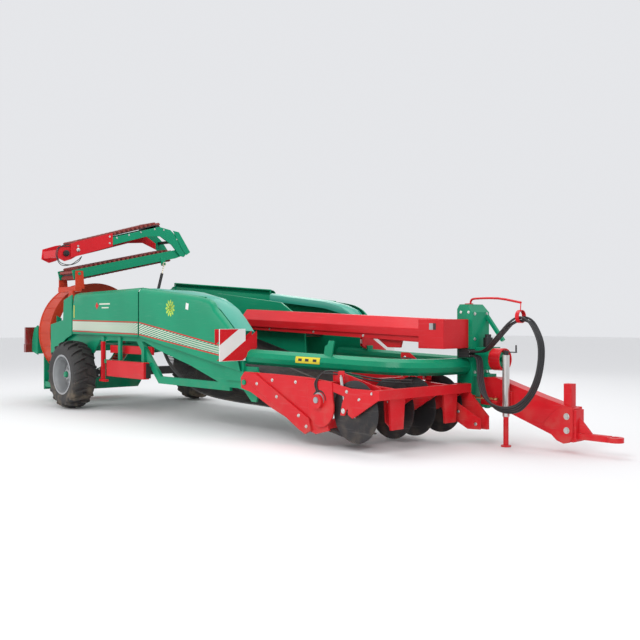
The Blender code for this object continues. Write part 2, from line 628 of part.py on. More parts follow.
def gearbox():
    x = TOWER_X[1] + SEAT
    neck = 0.09
    hole = clear_bore(neck, 24)
    shapes = [box((x, x + 0.20), (0.74, 0.98), (0.90, 1.18)),
              rod((x + 0.18, 0.86, 1.03), (x + 0.30, 0.86, 1.03), neck, 20),
              rod((x + 0.29, 0.86, 1.03), (x + 0.36, 0.86, 1.03), 0.03, 12)]
    solid("pto_gearbox", shapes, GREEN)
    profile = [(0.0, 0.14), (0.16, 0.14), (0.16, 0.125), (0.015, 0.125), (0.015, hole), (0.0, hole)]
    solid("gearbox_guard", [turned("x", (x + 0.2 + SEAT, 0.86, 1.03), profile, 24)], RED)
    solid("hydraulic_motor", [rod((x + 0.10, 0.86, 1.18 + SEAT), (x + 0.10, 0.86, 1.30), 0.06, 16),
                              rod((x + 0.10, 0.86, 1.29), (x + 0.10, 0.86, 1.34), 0.04, 12)], SILVER)


def top_beam():
    y = MID_WALL_Y - WALL - SEAT
    low = y - 0.25
    side = [(2.90, 1.43), (2.90, 1.69), (6.96, 1.53), (6.96, 1.30)]
    lip = [(2.94, 1.38), (2.92, 1.45), (6.62, 1.31), (6.62, 1.24)]
    shapes = [plate("y", side, low, y), plate("y", lip, low + 0.03, y - 0.001),
              box((6.60, 7.00), (low + 0.001, TOWER_Y[0] - SEAT), (1.165, 1.53)),
              plate("y", [(5.65, 1.36), (6.25, 1.33), (6.20, 1.16), (5.98, 1.16)], low + 0.10, low + 0.14)]
    solid("top_beam", shapes, RED)


def hose_arm():
    y = TOWER_Y[0] + 0.12
    start = Vector((TOWER_X[0] + 0.12, y, TOWER_TOP + SEAT))
    foot = box((start.x - 0.06, start.x + 0.014), (y - 0.04, y + 0.04), (start.z, start.z + 0.012))
    run = smooth([(start.x, y, start.z + 0.006), (start.x + 0.02, y - 0.01, start.z + 0.05),
                  (start.x + 0.12, y - 0.05, start.z + 0.07), (start.x + 0.60, y - 0.25, start.z + 0.06),
                  ARM_TIP], 3)
    saddle = turned("x", (ARM_TIP[0] - 0.03, ARM_TIP[1], ARM_TIP[2] - SADDLE_DROP),
                    [(0.0, SADDLE_RADIUS + 0.008), (0.05, SADDLE_RADIUS + 0.008), (0.05, SADDLE_RADIUS),
                     (0.0, SADDLE_RADIUS)], 20)
    shapes = [pipe(run, 0.014, 2), foot, saddle,
              rod(ARM_TIP, (ARM_TIP[0] - 0.005, ARM_TIP[1], ARM_TIP[2] - SADDLE_DROP + SADDLE_RADIUS + 0.004), 0.006, 8)]
    solid("hose_arm", shapes, RED)


# ---------------------------------------------------------------- discharge elevator

def along(pivot, angle, distance, lift):
    """A point at a distance along a line through pivot and a lift across it, in the plane across the machine."""
    turn = math.radians(angle)
    return (pivot[0] + distance * math.cos(turn) - lift * math.sin(turn),
            pivot[1] + distance * math.sin(turn) + lift * math.cos(turn))


def stadium(a, b, radius):
    """A closed outline round two points."""
    lean = math.degrees(math.atan2(b[1] - a[1], b[0] - a[0]))
    return arc(a, radius, lean + 90, lean + 270, 8) + arc(b, radius, lean - 90, lean + 90, 8)


def elevator_base():
    y, z = ELEVATOR_PIVOT
    x0, x1 = ELEVATOR_X
    shapes = [box((x0 - 0.05, x1 + 0.046), (-WALL_Y + 0.002, -WALL_Y + 0.12), (2.03, 2.12))]
    shapes.append(box((-0.62, -0.42), (-WALL_Y - 0.02, -WALL_Y - SEAT), (1.60, 1.97)))
    shapes.append(box((-0.60, -0.44), (-WALL_Y - 0.019, -WALL_Y + 0.027), (1.94, 2.05)))
    for low in (x0 - 0.045, x1 + 0.020):
        shapes.append(plate("x", [(-WALL_Y + 0.01, 2.08), (y - 0.07, z + 0.05), (y + 0.07, z + 0.05),
                                  (y + 0.10, 2.08)], low, low + 0.025))
    bore = rod((x0 - 0.2, y, z), (x1 + 0.2, y, z), clear_bore(ELEVATOR_PIN, PIN_SIDES), PIN_SIDES)
    solid("elevator_base", shapes, ORANGE, cuts=[bore])


def elevator_lower():
    x0, x1 = ELEVATOR_X
    y0, z0 = ELEVATOR_PIVOT
    y1, z1 = FOLD_PIVOT
    lean = math.degrees(math.atan2(z1 - z0, y1 - y0))
    length = math.hypot(y1 - y0, z1 - z0)
    half = ELEVATOR_DEPTH / 2
    outline = [along(ELEVATOR_PIVOT, lean, *p) for p in
               ((-0.10, -half), (length - 0.15, -half), (length + 0.05, -0.05), (length + 0.05, 0.05),
                (length - 0.15, half), (-0.10, half))]
    shapes = [plate("x", outline, x0, x0 + 0.025), plate("x", outline, x1 - 0.025, x1)]
    for distance in (LOWER_BELT[0], length * 0.5, LOWER_BELT[1]):
        y, z = along(ELEVATOR_PIVOT, lean, distance, 0)
        shapes.append(rod((x0 + 0.01, y, z), (x1 - 0.01, y, z), ELEVATOR_ROLLER, 16))
    shapes.append(rod((x0 - 0.05, y0, z0), (x0 + 0.01, y0, z0), ELEVATOR_PIN, PIN_SIDES))
    shapes.append(rod((x1 - 0.01, y0, z0), (x1 + 0.05, y0, z0), ELEVATOR_PIN, PIN_SIDES))
    lug_y, lug_z = LIFT_EYE
    shapes.append(plate("x", [(lug_y - 0.06, lug_z + 0.12), (lug_y - 0.03, lug_z - 0.03),
                              (lug_y + 0.03, lug_z - 0.03), (lug_y + 0.06, lug_z + 0.12)], x1 - 0.02, x1 + 0.012))
    shapes.append(rod((x1, lug_y, lug_z), (LIFT_X + 0.025, lug_y, lug_z), EYE_PIN, 12))
    fold = rod((x0 - 0.1, y1, z1), (x1 + 0.1, y1, z1), clear_bore(ELEVATOR_PIN, PIN_SIDES), PIN_SIDES)
    solid("elevator_lower", shapes, GREEN, "elevator_lift", cuts=[fold])
    a = along(ELEVATOR_PIVOT, lean, LOWER_BELT[0], 0)
    b = along(ELEVATOR_PIVOT, lean, LOWER_BELT[1], 0)
    inner = snug(ELEVATOR_ROLLER)
    solid("elevator_lower_belt", [plate("x", stadium(a, b, inner + 0.018), x0 + 0.035, x1 - 0.035)], BELT,
          "elevator_lift", cuts=[plate("x", stadium(a, b, inner), x0, x1)])


def elevator_upper():
    x0, x1 = ELEVATOR_X
    y1, z1 = FOLD_PIVOT
    gap = 0.006
    arm = [(-1.00, 2.92), (0.72, 3.40), (0.95, 3.33), (1.16, 3.12), (1.34, 2.86), (1.26, 2.76), (1.16, 2.78),
           (0.98, 2.98), (0.72, 3.13), (0.40, 3.10), (-0.30, 2.895), (-1.00, 2.70)]
    shapes = [plate("x", arm, x0 - 0.030, x0 - gap), plate("x", arm, x1 + gap, x1 + 0.030)]
    for y, z in UPPER_ROLLERS:
        shapes.append(rod((x0 - 0.02, y, z), (x1 + 0.02, y, z), ELEVATOR_ROLLER, 16))
    shapes.append(rod((x0 - 0.02, 1.08, 3.06), (x1 + 0.02, 1.08, 3.06), 0.03, 12))
    shapes.append(rod((x0 - 0.02, y1, z1), (x1 + 0.02, y1, z1), ELEVATOR_PIN, PIN_SIDES))
    solid("elevator_upper", shapes, GREEN, "elevator_fold")
    a, b = UPPER_ROLLERS
    inner = snug(ELEVATOR_ROLLER)
    solid("elevator_upper_belt", [plate("x", stadium(a, b, inner + 0.018), x0 + 0.02, x1 - 0.02)], BELT,
          "elevator_fold", cuts=[plate("x", stadium(a, b, inner), x0, x1)])
    end = -1.00 - SEAT
    head = [(end, 2.66), (end, 2.90), (-1.10, 2.88), (-1.34, 2.80), (-1.36, 2.62), (-1.22, 2.56), (-1.10, 2.60)]
    face = x1 + 0.030 + SEAT
    shapes = [plate("x", head, x0 - 0.03, x0), plate("x", head, x1, x1 + 0.03),
              box((x0 - 0.02, x1 + 0.02), (-1.34, -1.30), (2.63, 2.76)),
              plate("x", [(-1.12, 2.87), (-1.00, 2.92), (-0.30, 3.12), (-0.30, 2.88), (-1.00, 2.66),
                          (-1.12, 2.63)], face, face + 0.025),
              box((x1 + 0.01, face + 0.02), (-1.10, -1.03), (2.68, 2.84))]
    solid("elevator_head", shapes, RED, "elevator_fold")


def cylinder(name, axis, base, eye, closed, piston, finish, radius=CYLINDER_RADIUS):
    """A cylinder from its base pin to its rod's eye. closed is the barrel's length and piston the piston's
    place from the base pin. The eye's hole is wide, because the rod's eye is where the linkage is opened."""
    axis, base, eye = Vector(axis), Vector(base), Vector(eye)
    way = (eye - base).normalized()
    mouth = base + way * closed
    inner = radius * 0.62
    barrel = [rod(base + way * 0.02, mouth, radius, 16), rod(base - axis * 0.012, base + axis * 0.012, 0.035, 16)]
    cuts = [rod(base + way * 0.06, mouth + way * 0.01, inner, 16),
            rod(base - axis * 0.05, base + axis * 0.05, clear_bore(EYE_PIN, 12), 12)]
    solid(name + "_barrel", barrel, finish, name + "_barrel", cuts=cuts)
    start = base + way * piston
    shapes = [rod(start, eye - way * 0.02, ROD_RADIUS, 16), rod(start, start + way * 0.04, inner - PIN_PLAY, 16),
              rod(eye - axis * 0.011, eye + axis * 0.011, 0.036, 16)]
    hole = rod(eye - axis * 0.05, eye + axis * 0.05, EYE_HOLE, 16)
    solid(name + "_rod", shapes, CHROME, name + "_rod", cuts=[hole])


def cylinders():
    cylinder("lift", (1, 0, 0), (LIFT_X, *LIFT_FOOT), (LIFT_X, *LIFT_EYE), 0.95, 0.30, DARK)
    cylinder("steering", (0, 0, 1), (*CYLINDER_BASE, CYLINDER_Z), (*CYLINDER_EYE, CYLINDER_Z), 0.42, 0.14, RED)


# ---------------------------------------------------------------- digging unit

SIDE_OUTLINE = [(4.65, 0.62), (4.64, 0.76), (4.72, 0.84), (5.30, 0.84), (5.95, 0.83), (6.36, 0.80), (6.36, 0.56),
                (6.30, 0.34), (6.35, 0.22), (6.12, 0.16), (5.85, 0.22), (5.30, 0.40), (4.86, 0.58)]


def digger_frame():
    shapes = []
    for outer in (DIGGER_RIGHT, DIGGER_LEFT):
        inner = outer + DIGGER_PLATE if outer < 0 else outer - DIGGER_PLATE
        low, high = sorted((outer, inner))
        shapes.append(plate("y", SIDE_OUTLINE, low, high))
    low, high = DIGGER_RIGHT + 0.01, DIGGER_LEFT - 0.01
    shapes.append(box((6.22, 6.32), (low, high), (0.24, 0.34)))
    shapes.append(box((6.25, 6.34), (low, high), (0.70, 0.79)))
    beam_y = (DISC_Y["outer_right"] - 0.055, DIGGER_LEFT - 0.02)
    shapes.append(box((BEAM_X, BEAM_X + 0.09), beam_y, (0.63, 0.74)))
    for y in (-0.80, 0.15):
        shapes.append(bar((6.28, y, 0.745), (BEAM_X + 0.04, y, 0.69), 0.07, 0.09))
        shapes.append(plate("x", [(y - 0.13, 0.64), (y + 0.13, 0.64), (y + 0.10, 0.28), (y - 0.10, 0.28)],
                            BEAM_X + 0.02, BEAM_X + 0.05))
    for y in DISC_Y.values():
        bracket = [(BEAM_X + 0.01, 0.73), (BEAM_X + 0.07, 0.73), (BEAM_X + 0.07, 0.63), (6.83, 0.44), (6.75, 0.40), (6.68, 0.44), (6.68, 0.52)]
        shapes.append(plate("y", bracket, y - 0.055, y - 0.035))
        shapes.append(rod((DISC_X, y - 0.04, DISC_Z), (DISC_X, y + 0.03, DISC_Z), DISC_PIN, 16))
    shapes.append(plate("y", [(6.94, 0.735), (7.05, 0.735), (7.44, 0.36), (7.44, 0.20), (7.30, 0.20),
                              (6.94, 0.60)], DIGGER_LEFT - 0.06, DIGGER_LEFT - 0.02))
    shapes.append(rod((6.20, DIGGER_RIGHT + 0.01, 0.56), (6.20, DIGGER_RIGHT - 0.07, 0.56), 0.085, 20))
    x, z = DIGGER_PIVOT
    hole = rod((x, DIGGER_RIGHT - 0.1, z), (x, DIGGER_LEFT + 0.1, z), clear_bore(PIVOT_PIN, PIN_SIDES), PIN_SIDES)
    solid("digger_frame", shapes, RED, "digger", cuts=[hole])
    blade = [(6.20, 0.24 - SEAT), (6.34, 0.24 - SEAT), (6.56, 0.155), (6.54, 0.145), (6.20, 0.205)]
    blades = [box((6.21, 6.31), (-1.03, 0.38), (0.21, 0.24 - SEAT * 2))]
    for low, high in ((-1.04, -0.54), (-0.05, 0.35)):
        blades.append(plate("y", blade, low, high))
    solid("share_blades", blades, DARK, "digger")


def discs():
    radius = DISC_DIAMETER / 2
    bore = clear_bore(DISC_PIN, DISC_STEPS)
    profile = [(-0.004, radius), (0.004, radius), (0.004, 0.09), (0.015, 0.085), (0.015, bore), (-0.015, bore),
               (-0.015, 0.085), (-0.004, 0.09)]
    for name, y in DISC_Y.items():
        solid("disc_" + name, [turned("y", (DISC_X, y, DISC_Z), profile, DISC_STEPS)], DARK, "disc_" + name)


# ---------------------------------------------------------------- drawbar and jack

def drawbar():
    low, high = STEER_LUGS_Z[0] + SEAT, STEER_LUGS_Z[1] - SEAT
    body = [(7.22, low), (7.38, low), (8.34, 0.13), (HITCH_FACE_X, 0.13), (HITCH_FACE_X, 0.51), (8.0, 0.63),
            (7.40, high), (7.22, high)]
    eye_x, eye_y = CYLINDER_EYE
    shapes = [plate("y", body, STEER_Y - 0.09, STEER_Y + 0.09),
              rod((STEER_X, STEER_Y, low), (STEER_X, STEER_Y, high), 0.085, 24),
              box((8.30, 8.40), (STEER_Y - 0.05, STEER_Y + 0.05), (0.50, 0.79)),
              box((eye_x - 0.035, eye_x + 0.035), (eye_y - 0.03, STEER_Y - 0.08),
                  (CYLINDER_Z - 0.045, CYLINDER_Z - 0.018)),
              rod((eye_x, eye_y, CYLINDER_Z - 0.03), (eye_x, eye_y, CYLINDER_Z + 0.03), EYE_PIN, 12),
              box((JACK_X - 0.05, JACK_X + 0.05), (JACK_Y + JACK_RADIUS + SEAT, STEER_Y - 0.08), (0.46, 0.66))]
    hole = rod((STEER_X, STEER_Y, low - 0.1), (STEER_X, STEER_Y, high + 0.1), clear_bore(STEER_PIN, PIN_SIDES), PIN_SIDES)
    solid("drawbar", shapes, RED, "steer", cuts=[hole])
    face = HITCH_FACE_X + SEAT
    centre = EYE_REACH - 0.09
    z = 0.20
    shapes = [box((face, face + 0.03), (STEER_Y - 0.085, STEER_Y + 0.085), (0.14, 0.50)),
              box((face + 0.02, centre - 0.06), (STEER_Y - 0.045, STEER_Y + 0.045), (z - 0.035, z + 0.035)),
              plate("y", [(face + 0.02, z), (face + 0.22, z), (face + 0.02, 0.42)], STEER_Y - 0.015,
                    STEER_Y + 0.015),
              rod((centre, STEER_Y, z - 0.028), (centre, STEER_Y, z + 0.028), 0.09, 32)]
    hole = rod((centre, STEER_Y, z - 0.1), (centre, STEER_Y, z + 0.1), 0.04, 24)
    solid("hitch_eye", shapes, RED, "steer", cuts=[hole])


def jack():
    outer, inner = JACK_RADIUS, JACK_RADIUS - 0.010
    solid("jack_tube", [turned("z", (JACK_X, JACK_Y, 0), [(0.36, inner), (1.08, inner), (1.08, 0.010),
                                                         (1.10, 0.010), (1.10, outer), (0.36, outer)], 20)],
          SILVER, "steer")
    shapes = [rod((JACK_X, JACK_Y, 0.01), (JACK_X, JACK_Y, 0.70), inner - PIN_PLAY, 20),
              rod((JACK_X, JACK_Y, 0.0), (JACK_X, JACK_Y, 0.02), 0.062, 20)]
    solid("jack_leg", shapes, RED, "jack")
    shapes = [rod((JACK_X, JACK_Y, 1.10 + SEAT), (JACK_X, JACK_Y, 1.15), 0.03, 16),
              bar((JACK_X, JACK_Y, 1.135), (JACK_X + 0.14, JACK_Y + 0.02, 1.135), 0.02, 0.012),
              rod((JACK_X + 0.13, JACK_Y + 0.019, 1.135), (JACK_X + 0.13, JACK_Y + 0.019, 1.22), 0.010, 10)]
    solid("jack_crank", shapes, DARK, "steer")


# ---------------------------------------------------------------- tool box, couplings and hoses

def tool_box():
    y = -WALL_Y - 0.03 - SEAT
    shapes = [box((1.02, 2.20), (y - 0.10, y), (0.60, 0.86))]
    solid("tool_box", shapes, RED)


def hose_couplings():
    """The block on the tower with two rows of couplings: the hoses leave the lower and end at the upper."""
    row = HOSE_SPACING * (HOSE_COUNT - 1) / 2 + 0.018
    shapes = [box((6.94, COUPLING_FACE), (HOSE_ROW_Y - row, TOWER_Y[0] - SEAT), (HOSE_ROWS_Z[0] - 0.02, 1.155))]
    for index in range(HOSE_COUNT):
        y = HOSE_ROW_Y + hose_side(index)
        for z in HOSE_ROWS_Z:
            shapes.append(rod((COUPLING_FACE - 0.01, y, z), (COUPLING_FACE + STUB, y, z), 0.0145, 10))
    solid("hose_couplings", shapes, SILVER)


def hose_side(index):
    """How far a hose lies to the left of the bundle's middle."""
    return (index - (HOSE_COUNT - 1) / 2) * HOSE_SPACING


def hose_route(index):
    """The points a hose is led through: out of the block, down in a loop, up through the ring and back."""
    side = hose_side(index)
    drop = 0.022 * index
    rest = ARM_TIP[2] - SADDLE_DROP - math.sqrt(0.049 ** 2 - side ** 2)
    leave, end = HOSE_ROWS_Z
    middle = [
        (7.15, 0.607, leave), (7.20, 0.600, 1.055), (7.25, 0.565, 0.995), (7.305, 0.500, 0.890),
        (7.375, 0.425, 0.765), (7.475, 0.355, 0.645 - drop / 2), (7.62, 0.310, 0.550 - drop),
        (7.80, 0.290, 0.510 - drop), (7.98, 0.285, 0.545 - drop), (8.13, 0.290, 0.660 - drop / 2),
        (8.225, 0.300, 0.830 - drop / 3), (8.27, 0.315, 1.03), (8.265, 0.330, 1.23), (8.20, 0.345, 1.39),
        (8.10, 0.357, (rest + 1.48) / 2), (ARM_TIP[0] - 0.005, ARM_TIP[1], rest), (7.85, 0.367, (rest + 1.43) / 2),
        (7.72, 0.390, 1.385), (7.59, 0.430, 1.285), (7.46, 0.490, 1.200), (7.34, 0.555, 1.148),
        (7.24, 0.600, end + 0.002), (7.15, 0.607, end),
    ]
    return [(x, y + side, z) for x, y, z in middle]


def hoses():
    for index in range(HOSE_COUNT):
        route = hose_route(index)
        (_, y, leave), (_, _, end) = route[0], route[-1]
        face = COUPLING_FACE + STUB + SEAT
        path = [(face, y, leave)] + smooth(route, 2) + [(face, y, end)]
        solid("hose_%d" % (index + 1), [pipe(path, HOSE_DIAMETER / 2, 2)], RUBBER)


# ---------------------------------------------------------------- the whole machine

def hinge_place(side, hinge):
    (x, z), _ = hinge
    return x, side * (WALL_Y - WALL), z


clear()
machine = bpy.data.objects.new("machine", None)
machine.location = (AXLE_X, 0, 0)
bpy.context.scene.collection.objects.link(machine)

pivot_places = {
    "wheel_right": (0, -WHEEL_Y, TYRE_RADIUS),
    "wheel_left": (0, WHEEL_Y, TYRE_RADIUS),
    "ring": (0, RING_Y, RING_Z),
    "cover_right_rear": hinge_place(-1, RIGHT_REAR_HINGE),
    "cover_right_front": hinge_place(-1, RIGHT_FRONT_HINGE),
    "cover_left_rear": hinge_place(1, LEFT_REAR_HINGE),
    "cover_left_front": hinge_place(1, LEFT_FRONT_HINGE),
    "elevator_lift": (0, *ELEVATOR_PIVOT),
    "elevator_fold": (0, *FOLD_PIVOT),
    "lift_barrel": (LIFT_X, *LIFT_FOOT),
    "lift_rod": (LIFT_X, *LIFT_EYE),
    "digger": (DIGGER_PIVOT[0], 0, DIGGER_PIVOT[1]),
    "steer": (STEER_X, STEER_Y, 0),
    "jack": (JACK_X, JACK_Y, 0),
    "steering_barrel": (*CYLINDER_BASE, CYLINDER_Z),
    "steering_rod": (*CYLINDER_EYE, CYLINDER_Z),
}
for disc_name, disc_y in DISC_Y.items():
    pivot_places["disc_" + disc_name] = (DISC_X, disc_y, DISC_Z)

pivots = {}
for pivot_name, place in pivot_places.items():
    empty = bpy.data.objects.new("pivot_" + pivot_name, None)
    bpy.context.scene.collection.objects.link(empty)
    empty.parent = machine
    empty.location = place
    pivots[pivot_name] = empty

chassis_frame()
axle_beam()
wheel("right", -1)
wheel("left", 1)
cover("right_rear", -1)
cover("right_front", -1)
cover("left_rear", 1)
cover("left_front", 1)
rear_panel("right", -1)
rear_panel("left", 1)
ring_cradle()
ring_elevator()
tail()
warning_boards()
webs()
tubes()
front_tower()
gearbox()
top_beam()
hose_arm()
elevator_base()
elevator_lower()
elevator_upper()
cylinders()
digger_frame()
discs()
drawbar()
jack()
tool_box()
hose_couplings()
hoses()
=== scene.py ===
# Trailed potato harvester: looks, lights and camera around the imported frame
import math

import bmesh
import bpy
from mathutils import Matrix, Vector


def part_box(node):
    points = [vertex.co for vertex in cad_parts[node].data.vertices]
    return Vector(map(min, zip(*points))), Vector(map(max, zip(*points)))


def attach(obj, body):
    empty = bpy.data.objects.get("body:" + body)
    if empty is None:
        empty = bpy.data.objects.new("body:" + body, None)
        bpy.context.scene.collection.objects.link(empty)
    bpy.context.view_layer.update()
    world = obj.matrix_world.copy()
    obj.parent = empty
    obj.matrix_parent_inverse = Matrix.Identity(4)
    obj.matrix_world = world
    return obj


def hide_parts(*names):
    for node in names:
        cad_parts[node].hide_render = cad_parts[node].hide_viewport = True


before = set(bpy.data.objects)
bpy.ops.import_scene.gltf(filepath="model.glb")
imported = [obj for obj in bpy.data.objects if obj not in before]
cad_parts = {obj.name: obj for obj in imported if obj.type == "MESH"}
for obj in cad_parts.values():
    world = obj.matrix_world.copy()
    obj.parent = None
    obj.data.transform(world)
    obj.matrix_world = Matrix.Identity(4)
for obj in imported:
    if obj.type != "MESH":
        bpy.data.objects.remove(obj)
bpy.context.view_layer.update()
tyreLow, tyreHigh = (Vector(corner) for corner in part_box("tyre_right"))
axle = (tyreLow + tyreHigh) / 2  # centre of the right wheel
axleX = axle.x
print("frame loaded, axle at", round(axleX, 3))


def spot(x, y, z):
    # a place measured from the axle along the machine
    return Vector((x + axleX, y, z))


# camera, floor and light
view = {"place": (13.41, -7.73, 1.52), "heading": (-0.738, 0.675, 0.0), "lens": 46.4, "sensor": 36.0}


def setStage():
    camera = bpy.data.objects.new("camera", bpy.data.cameras.new("camera"))
    camera.data.lens = view["lens"]
    camera.data.sensor_width = view["sensor"]
    camera.location = spot(*view["place"])
    camera.rotation_euler = Vector(view["heading"]).to_track_quat("-Z", "Y").to_euler()
    bpy.context.scene.collection.objects.link(camera)
    bpy.context.scene.camera = camera

    floorMesh = bpy.data.meshes.new("floor")
    reach = 60.0
    floorMesh.from_pydata([(-reach, -reach, 0), (reach, -reach, 0), (reach, reach, 0), (-reach, reach, 0)],
                          [],
                          [(0, 1, 2, 3)])
    floor = bpy.data.objects.new("floor", floorMesh)
    floor.data.materials.append(plainMaterial("paleFloor", (0.86, 0.86, 0.86), 0.7))
    bpy.context.scene.collection.objects.link(floor)

    world = bpy.data.worlds.new("paleStudio")
    world.use_nodes = True
    world.node_tree.nodes["Background"].inputs["Color"].default_value = (0.96, 0.97, 1.0, 1)
    world.node_tree.nodes["Background"].inputs["Strength"].default_value = 0.82
    bpy.context.scene.world = world
    bpy.context.scene.view_settings.view_transform = "Standard"

    lamps = {
        "keyLight": {"place": (10.0, -9.0, 7.5), "size": 5.0, "power": 470},
        "fillLight": {"place": (-4.0, -10.0, 5.0), "size": 7.0, "power": 200},
        "topLight": {"place": (3.0, 1.0, 9.0), "size": 7.0, "power": 330},
        "backLight": {"place": (-3.0, 9.0, 6.0), "size": 6.0, "power": 160},
    }
    for name, lamp in lamps.items():
        data = bpy.data.lights.new(name, "AREA")
        data.size = lamp["size"]
        data.energy = lamp["power"]
        light = bpy.data.objects.new(name, data)
        light.location = spot(*lamp["place"])
        light.rotation_euler = (spot(3.5, 0, 0.8) - light.location).to_track_quat("-Z", "Y").to_euler()
        bpy.context.scene.collection.objects.link(light)


# shader groups
def shaderGroup(name, inputs, outputs):
    tree = bpy.data.node_groups.new(name, "ShaderNodeTree")
    for label, kind, value in inputs:
        socket = tree.interface.new_socket(label, in_out="INPUT", socket_type=kind)
        if value is not None:
            socket.default_value = value
    for label, kind in outputs:
        tree.interface.new_socket(label, in_out="OUTPUT", socket_type=kind)
    return tree, tree.nodes.new("NodeGroupInput"), tree.nodes.new("NodeGroupOutput")


def mathNode(tree, operation, first, second=None):
    node = tree.nodes.new("ShaderNodeMath")
    node.operation = operation
    for socket, value in zip(node.inputs, (first, second)):
        if hasattr(value, "default_value") or hasattr(value, "is_linked"):
            tree.links.new(value, socket)
        elif value is not None:
            socket.default_value = value
    return node.outputs[0]


def noiseNode(tree, vector, scale, detail=3.0):
    node = tree.nodes.new("ShaderNodeTexNoise")
    node.inputs["Detail"].default_value = detail
    tree.links.new(vector, node.inputs["Vector"])
    if hasattr(scale, "default_value"):
        tree.links.new(scale, node.inputs["Scale"])
    else:
        node.inputs["Scale"].default_value = scale
    return node.outputs[0]


def rangeNode(tree, value, low, high, newLow=0.0, newHigh=1.0):
    node = tree.nodes.new("ShaderNodeMapRange")
    node.interpolation_type = "SMOOTHSTEP"
    tree.links.new(value, node.inputs[0])
    for socket, number in zip(node.inputs[1:5], (low, high, newLow, newHigh)):
        if hasattr(number, "default_value"):
            tree.links.new(number, socket)
        else:
            socket.default_value = number
    return node.outputs[0]


def mixColour(tree, factor, first, second, blend="MIX"):
    node = tree.nodes.new("ShaderNodeMix")
    node.data_type = "RGBA"
    node.blend_type = blend
    for socket, value in ((node.inputs[0], factor), (node.inputs[6], first), (node.inputs[7], second)):
        if hasattr(value, "default_value"):
            tree.links.new(value, socket)
        else:
            socket.default_value = value
    return node.outputs[2]


def makeWeathering():
    # slow tone change, fine speckle, and soil dust that thins out with height
    tree, inside, outside = shaderGroup(
        "weathering",
        [("Vector", "NodeSocketVector", None), ("Colour", "NodeSocketColor", (0.5, 0.5, 0.5, 1)),
         ("Dust Colour", "NodeSocketColor", (0.34, 0.27, 0.19, 1)), ("Tone", "NodeSocketFloat", 0.12),
         ("Dust", "NodeSocketFloat", 0.25), ("Dust Top", "NodeSocketFloat", 0.9),
         ("Smooth", "NodeSocketFloat", 0.3)],
        [("Colour", "NodeSocketColor"), ("Roughness", "NodeSocketFloat"), ("Mask", "NodeSocketFloat")])
    vector = inside.outputs["Vector"]
    slow = rangeNode(tree, noiseNode(tree, vector, 1.7), 0.3, 0.7, -0.5, 0.5)
    fine = rangeNode(tree, noiseNode(tree, vector, 140.0, 2.0), 0.35, 0.75)
    tone = mathNode(tree, "MULTIPLY", slow, inside.outputs["Tone"])
    lift = mathNode(tree, "ADD", tone, 0.5)
    toned = mixColour(tree, 1.0, inside.outputs["Colour"], mixColour(tree, lift, (0.55, 0.55, 0.55, 1),
                                                                   (1.45, 1.45, 1.45, 1)), "MULTIPLY")
    split = tree.nodes.new("ShaderNodeSeparateXYZ")
    tree.links.new(vector, split.inputs[0])
    low = mathNode(tree, "SUBTRACT", 1.0, rangeNode(tree, split.outputs[2], 0.05, inside.outputs["Dust Top"]))
    patch = rangeNode(tree, noiseNode(tree, vector, 5.5, 6.0), 0.42, 0.72)
    dust = mathNode(tree, "MULTIPLY", mathNode(tree, "MULTIPLY", low, patch), inside.outputs["Dust"])
    speck = mathNode(tree, "MULTIPLY", mathNode(tree, "MULTIPLY", fine, inside.outputs["Dust"]), 0.16)
    mask = mathNode(tree, "ADD", dust, speck)
    tree.links.new(mixColour(tree, mask, toned, inside.outputs["Dust Colour"]), outside.inputs["Colour"])
    rough = mathNode(tree, "ADD", inside.outputs["Smooth"], mathNode(tree, "MULTIPLY", mask, 0.5))
    tree.links.new(rough, outside.inputs["Roughness"])
    tree.links.new(mask, outside.inputs["Mask"])
    return tree


def makeGrain():
    # a fine bump: orange peel on paint, pores on castings, grain on rubber
    tree, inside, outside = shaderGroup(
        "grain", [("Vector", "NodeSocketVector", None), ("Scale", "NodeSocketFloat", 90.0),
                  ("Depth", "NodeSocketFloat", 0.1)], [("Normal", "NodeSocketVector")])
    bump = tree.nodes.new("ShaderNodeBump")
    bump.inputs["Distance"].default_value = 0.002
    tree.links.new(inside.outputs["Depth"], bump.inputs["Strength"])
    tree.links.new(noiseNode(tree, inside.outputs["Vector"], inside.outputs["Scale"], 2.0),
                   bump.inputs["Height"])
    tree.links.new(bump.outputs[0], outside.inputs["Normal"])
    return tree


def makeScuffs():
    # thin streaks where metal has been rubbed bright
    tree, inside, outside = shaderGroup(
        "scuffs", [("Vector", "NodeSocketVector", None), ("Amount", "NodeSocketFloat", 0.2),
                   ("Stretch", "NodeSocketVector", (3.0, 60.0, 60.0))], [("Mask", "NodeSocketFloat")])
    scaled = tree.nodes.new("ShaderNodeVectorMath")
    scaled.operation = "MULTIPLY"
    tree.links.new(inside.outputs["Vector"], scaled.inputs[0])
    tree.links.new(inside.outputs["Stretch"], scaled.inputs[1])
    streak = rangeNode(tree, noiseNode(tree, scaled.outputs[0], 1.0, 4.0), 0.56, 0.7)
    tree.links.new(mathNode(tree, "MULTIPLY", streak, inside.outputs["Amount"]), outside.inputs["Mask"])
    return tree


weathering = makeWeathering()
grain = makeGrain()
scuffs = makeScuffs()


def plainMaterial(name, colour, rough, metal=0.0):
    made = bpy.data.materials.new(name)
    made.use_nodes = True
    shader = made.node_tree.nodes["Principled BSDF"]
    shader.inputs["Base Color"].default_value = (*colour, 1)
    shader.inputs["Roughness"].default_value = rough
    shader.inputs["Metallic"].default_value = metal
    return made


def placed(tree, group, vector, values):
    node = tree.nodes.new("ShaderNodeGroup")
    node.node_tree = group
    tree.links.new(vector, node.inputs["Vector"])
    for label, value in values.items():
        node.inputs[label].default_value = value
    return node


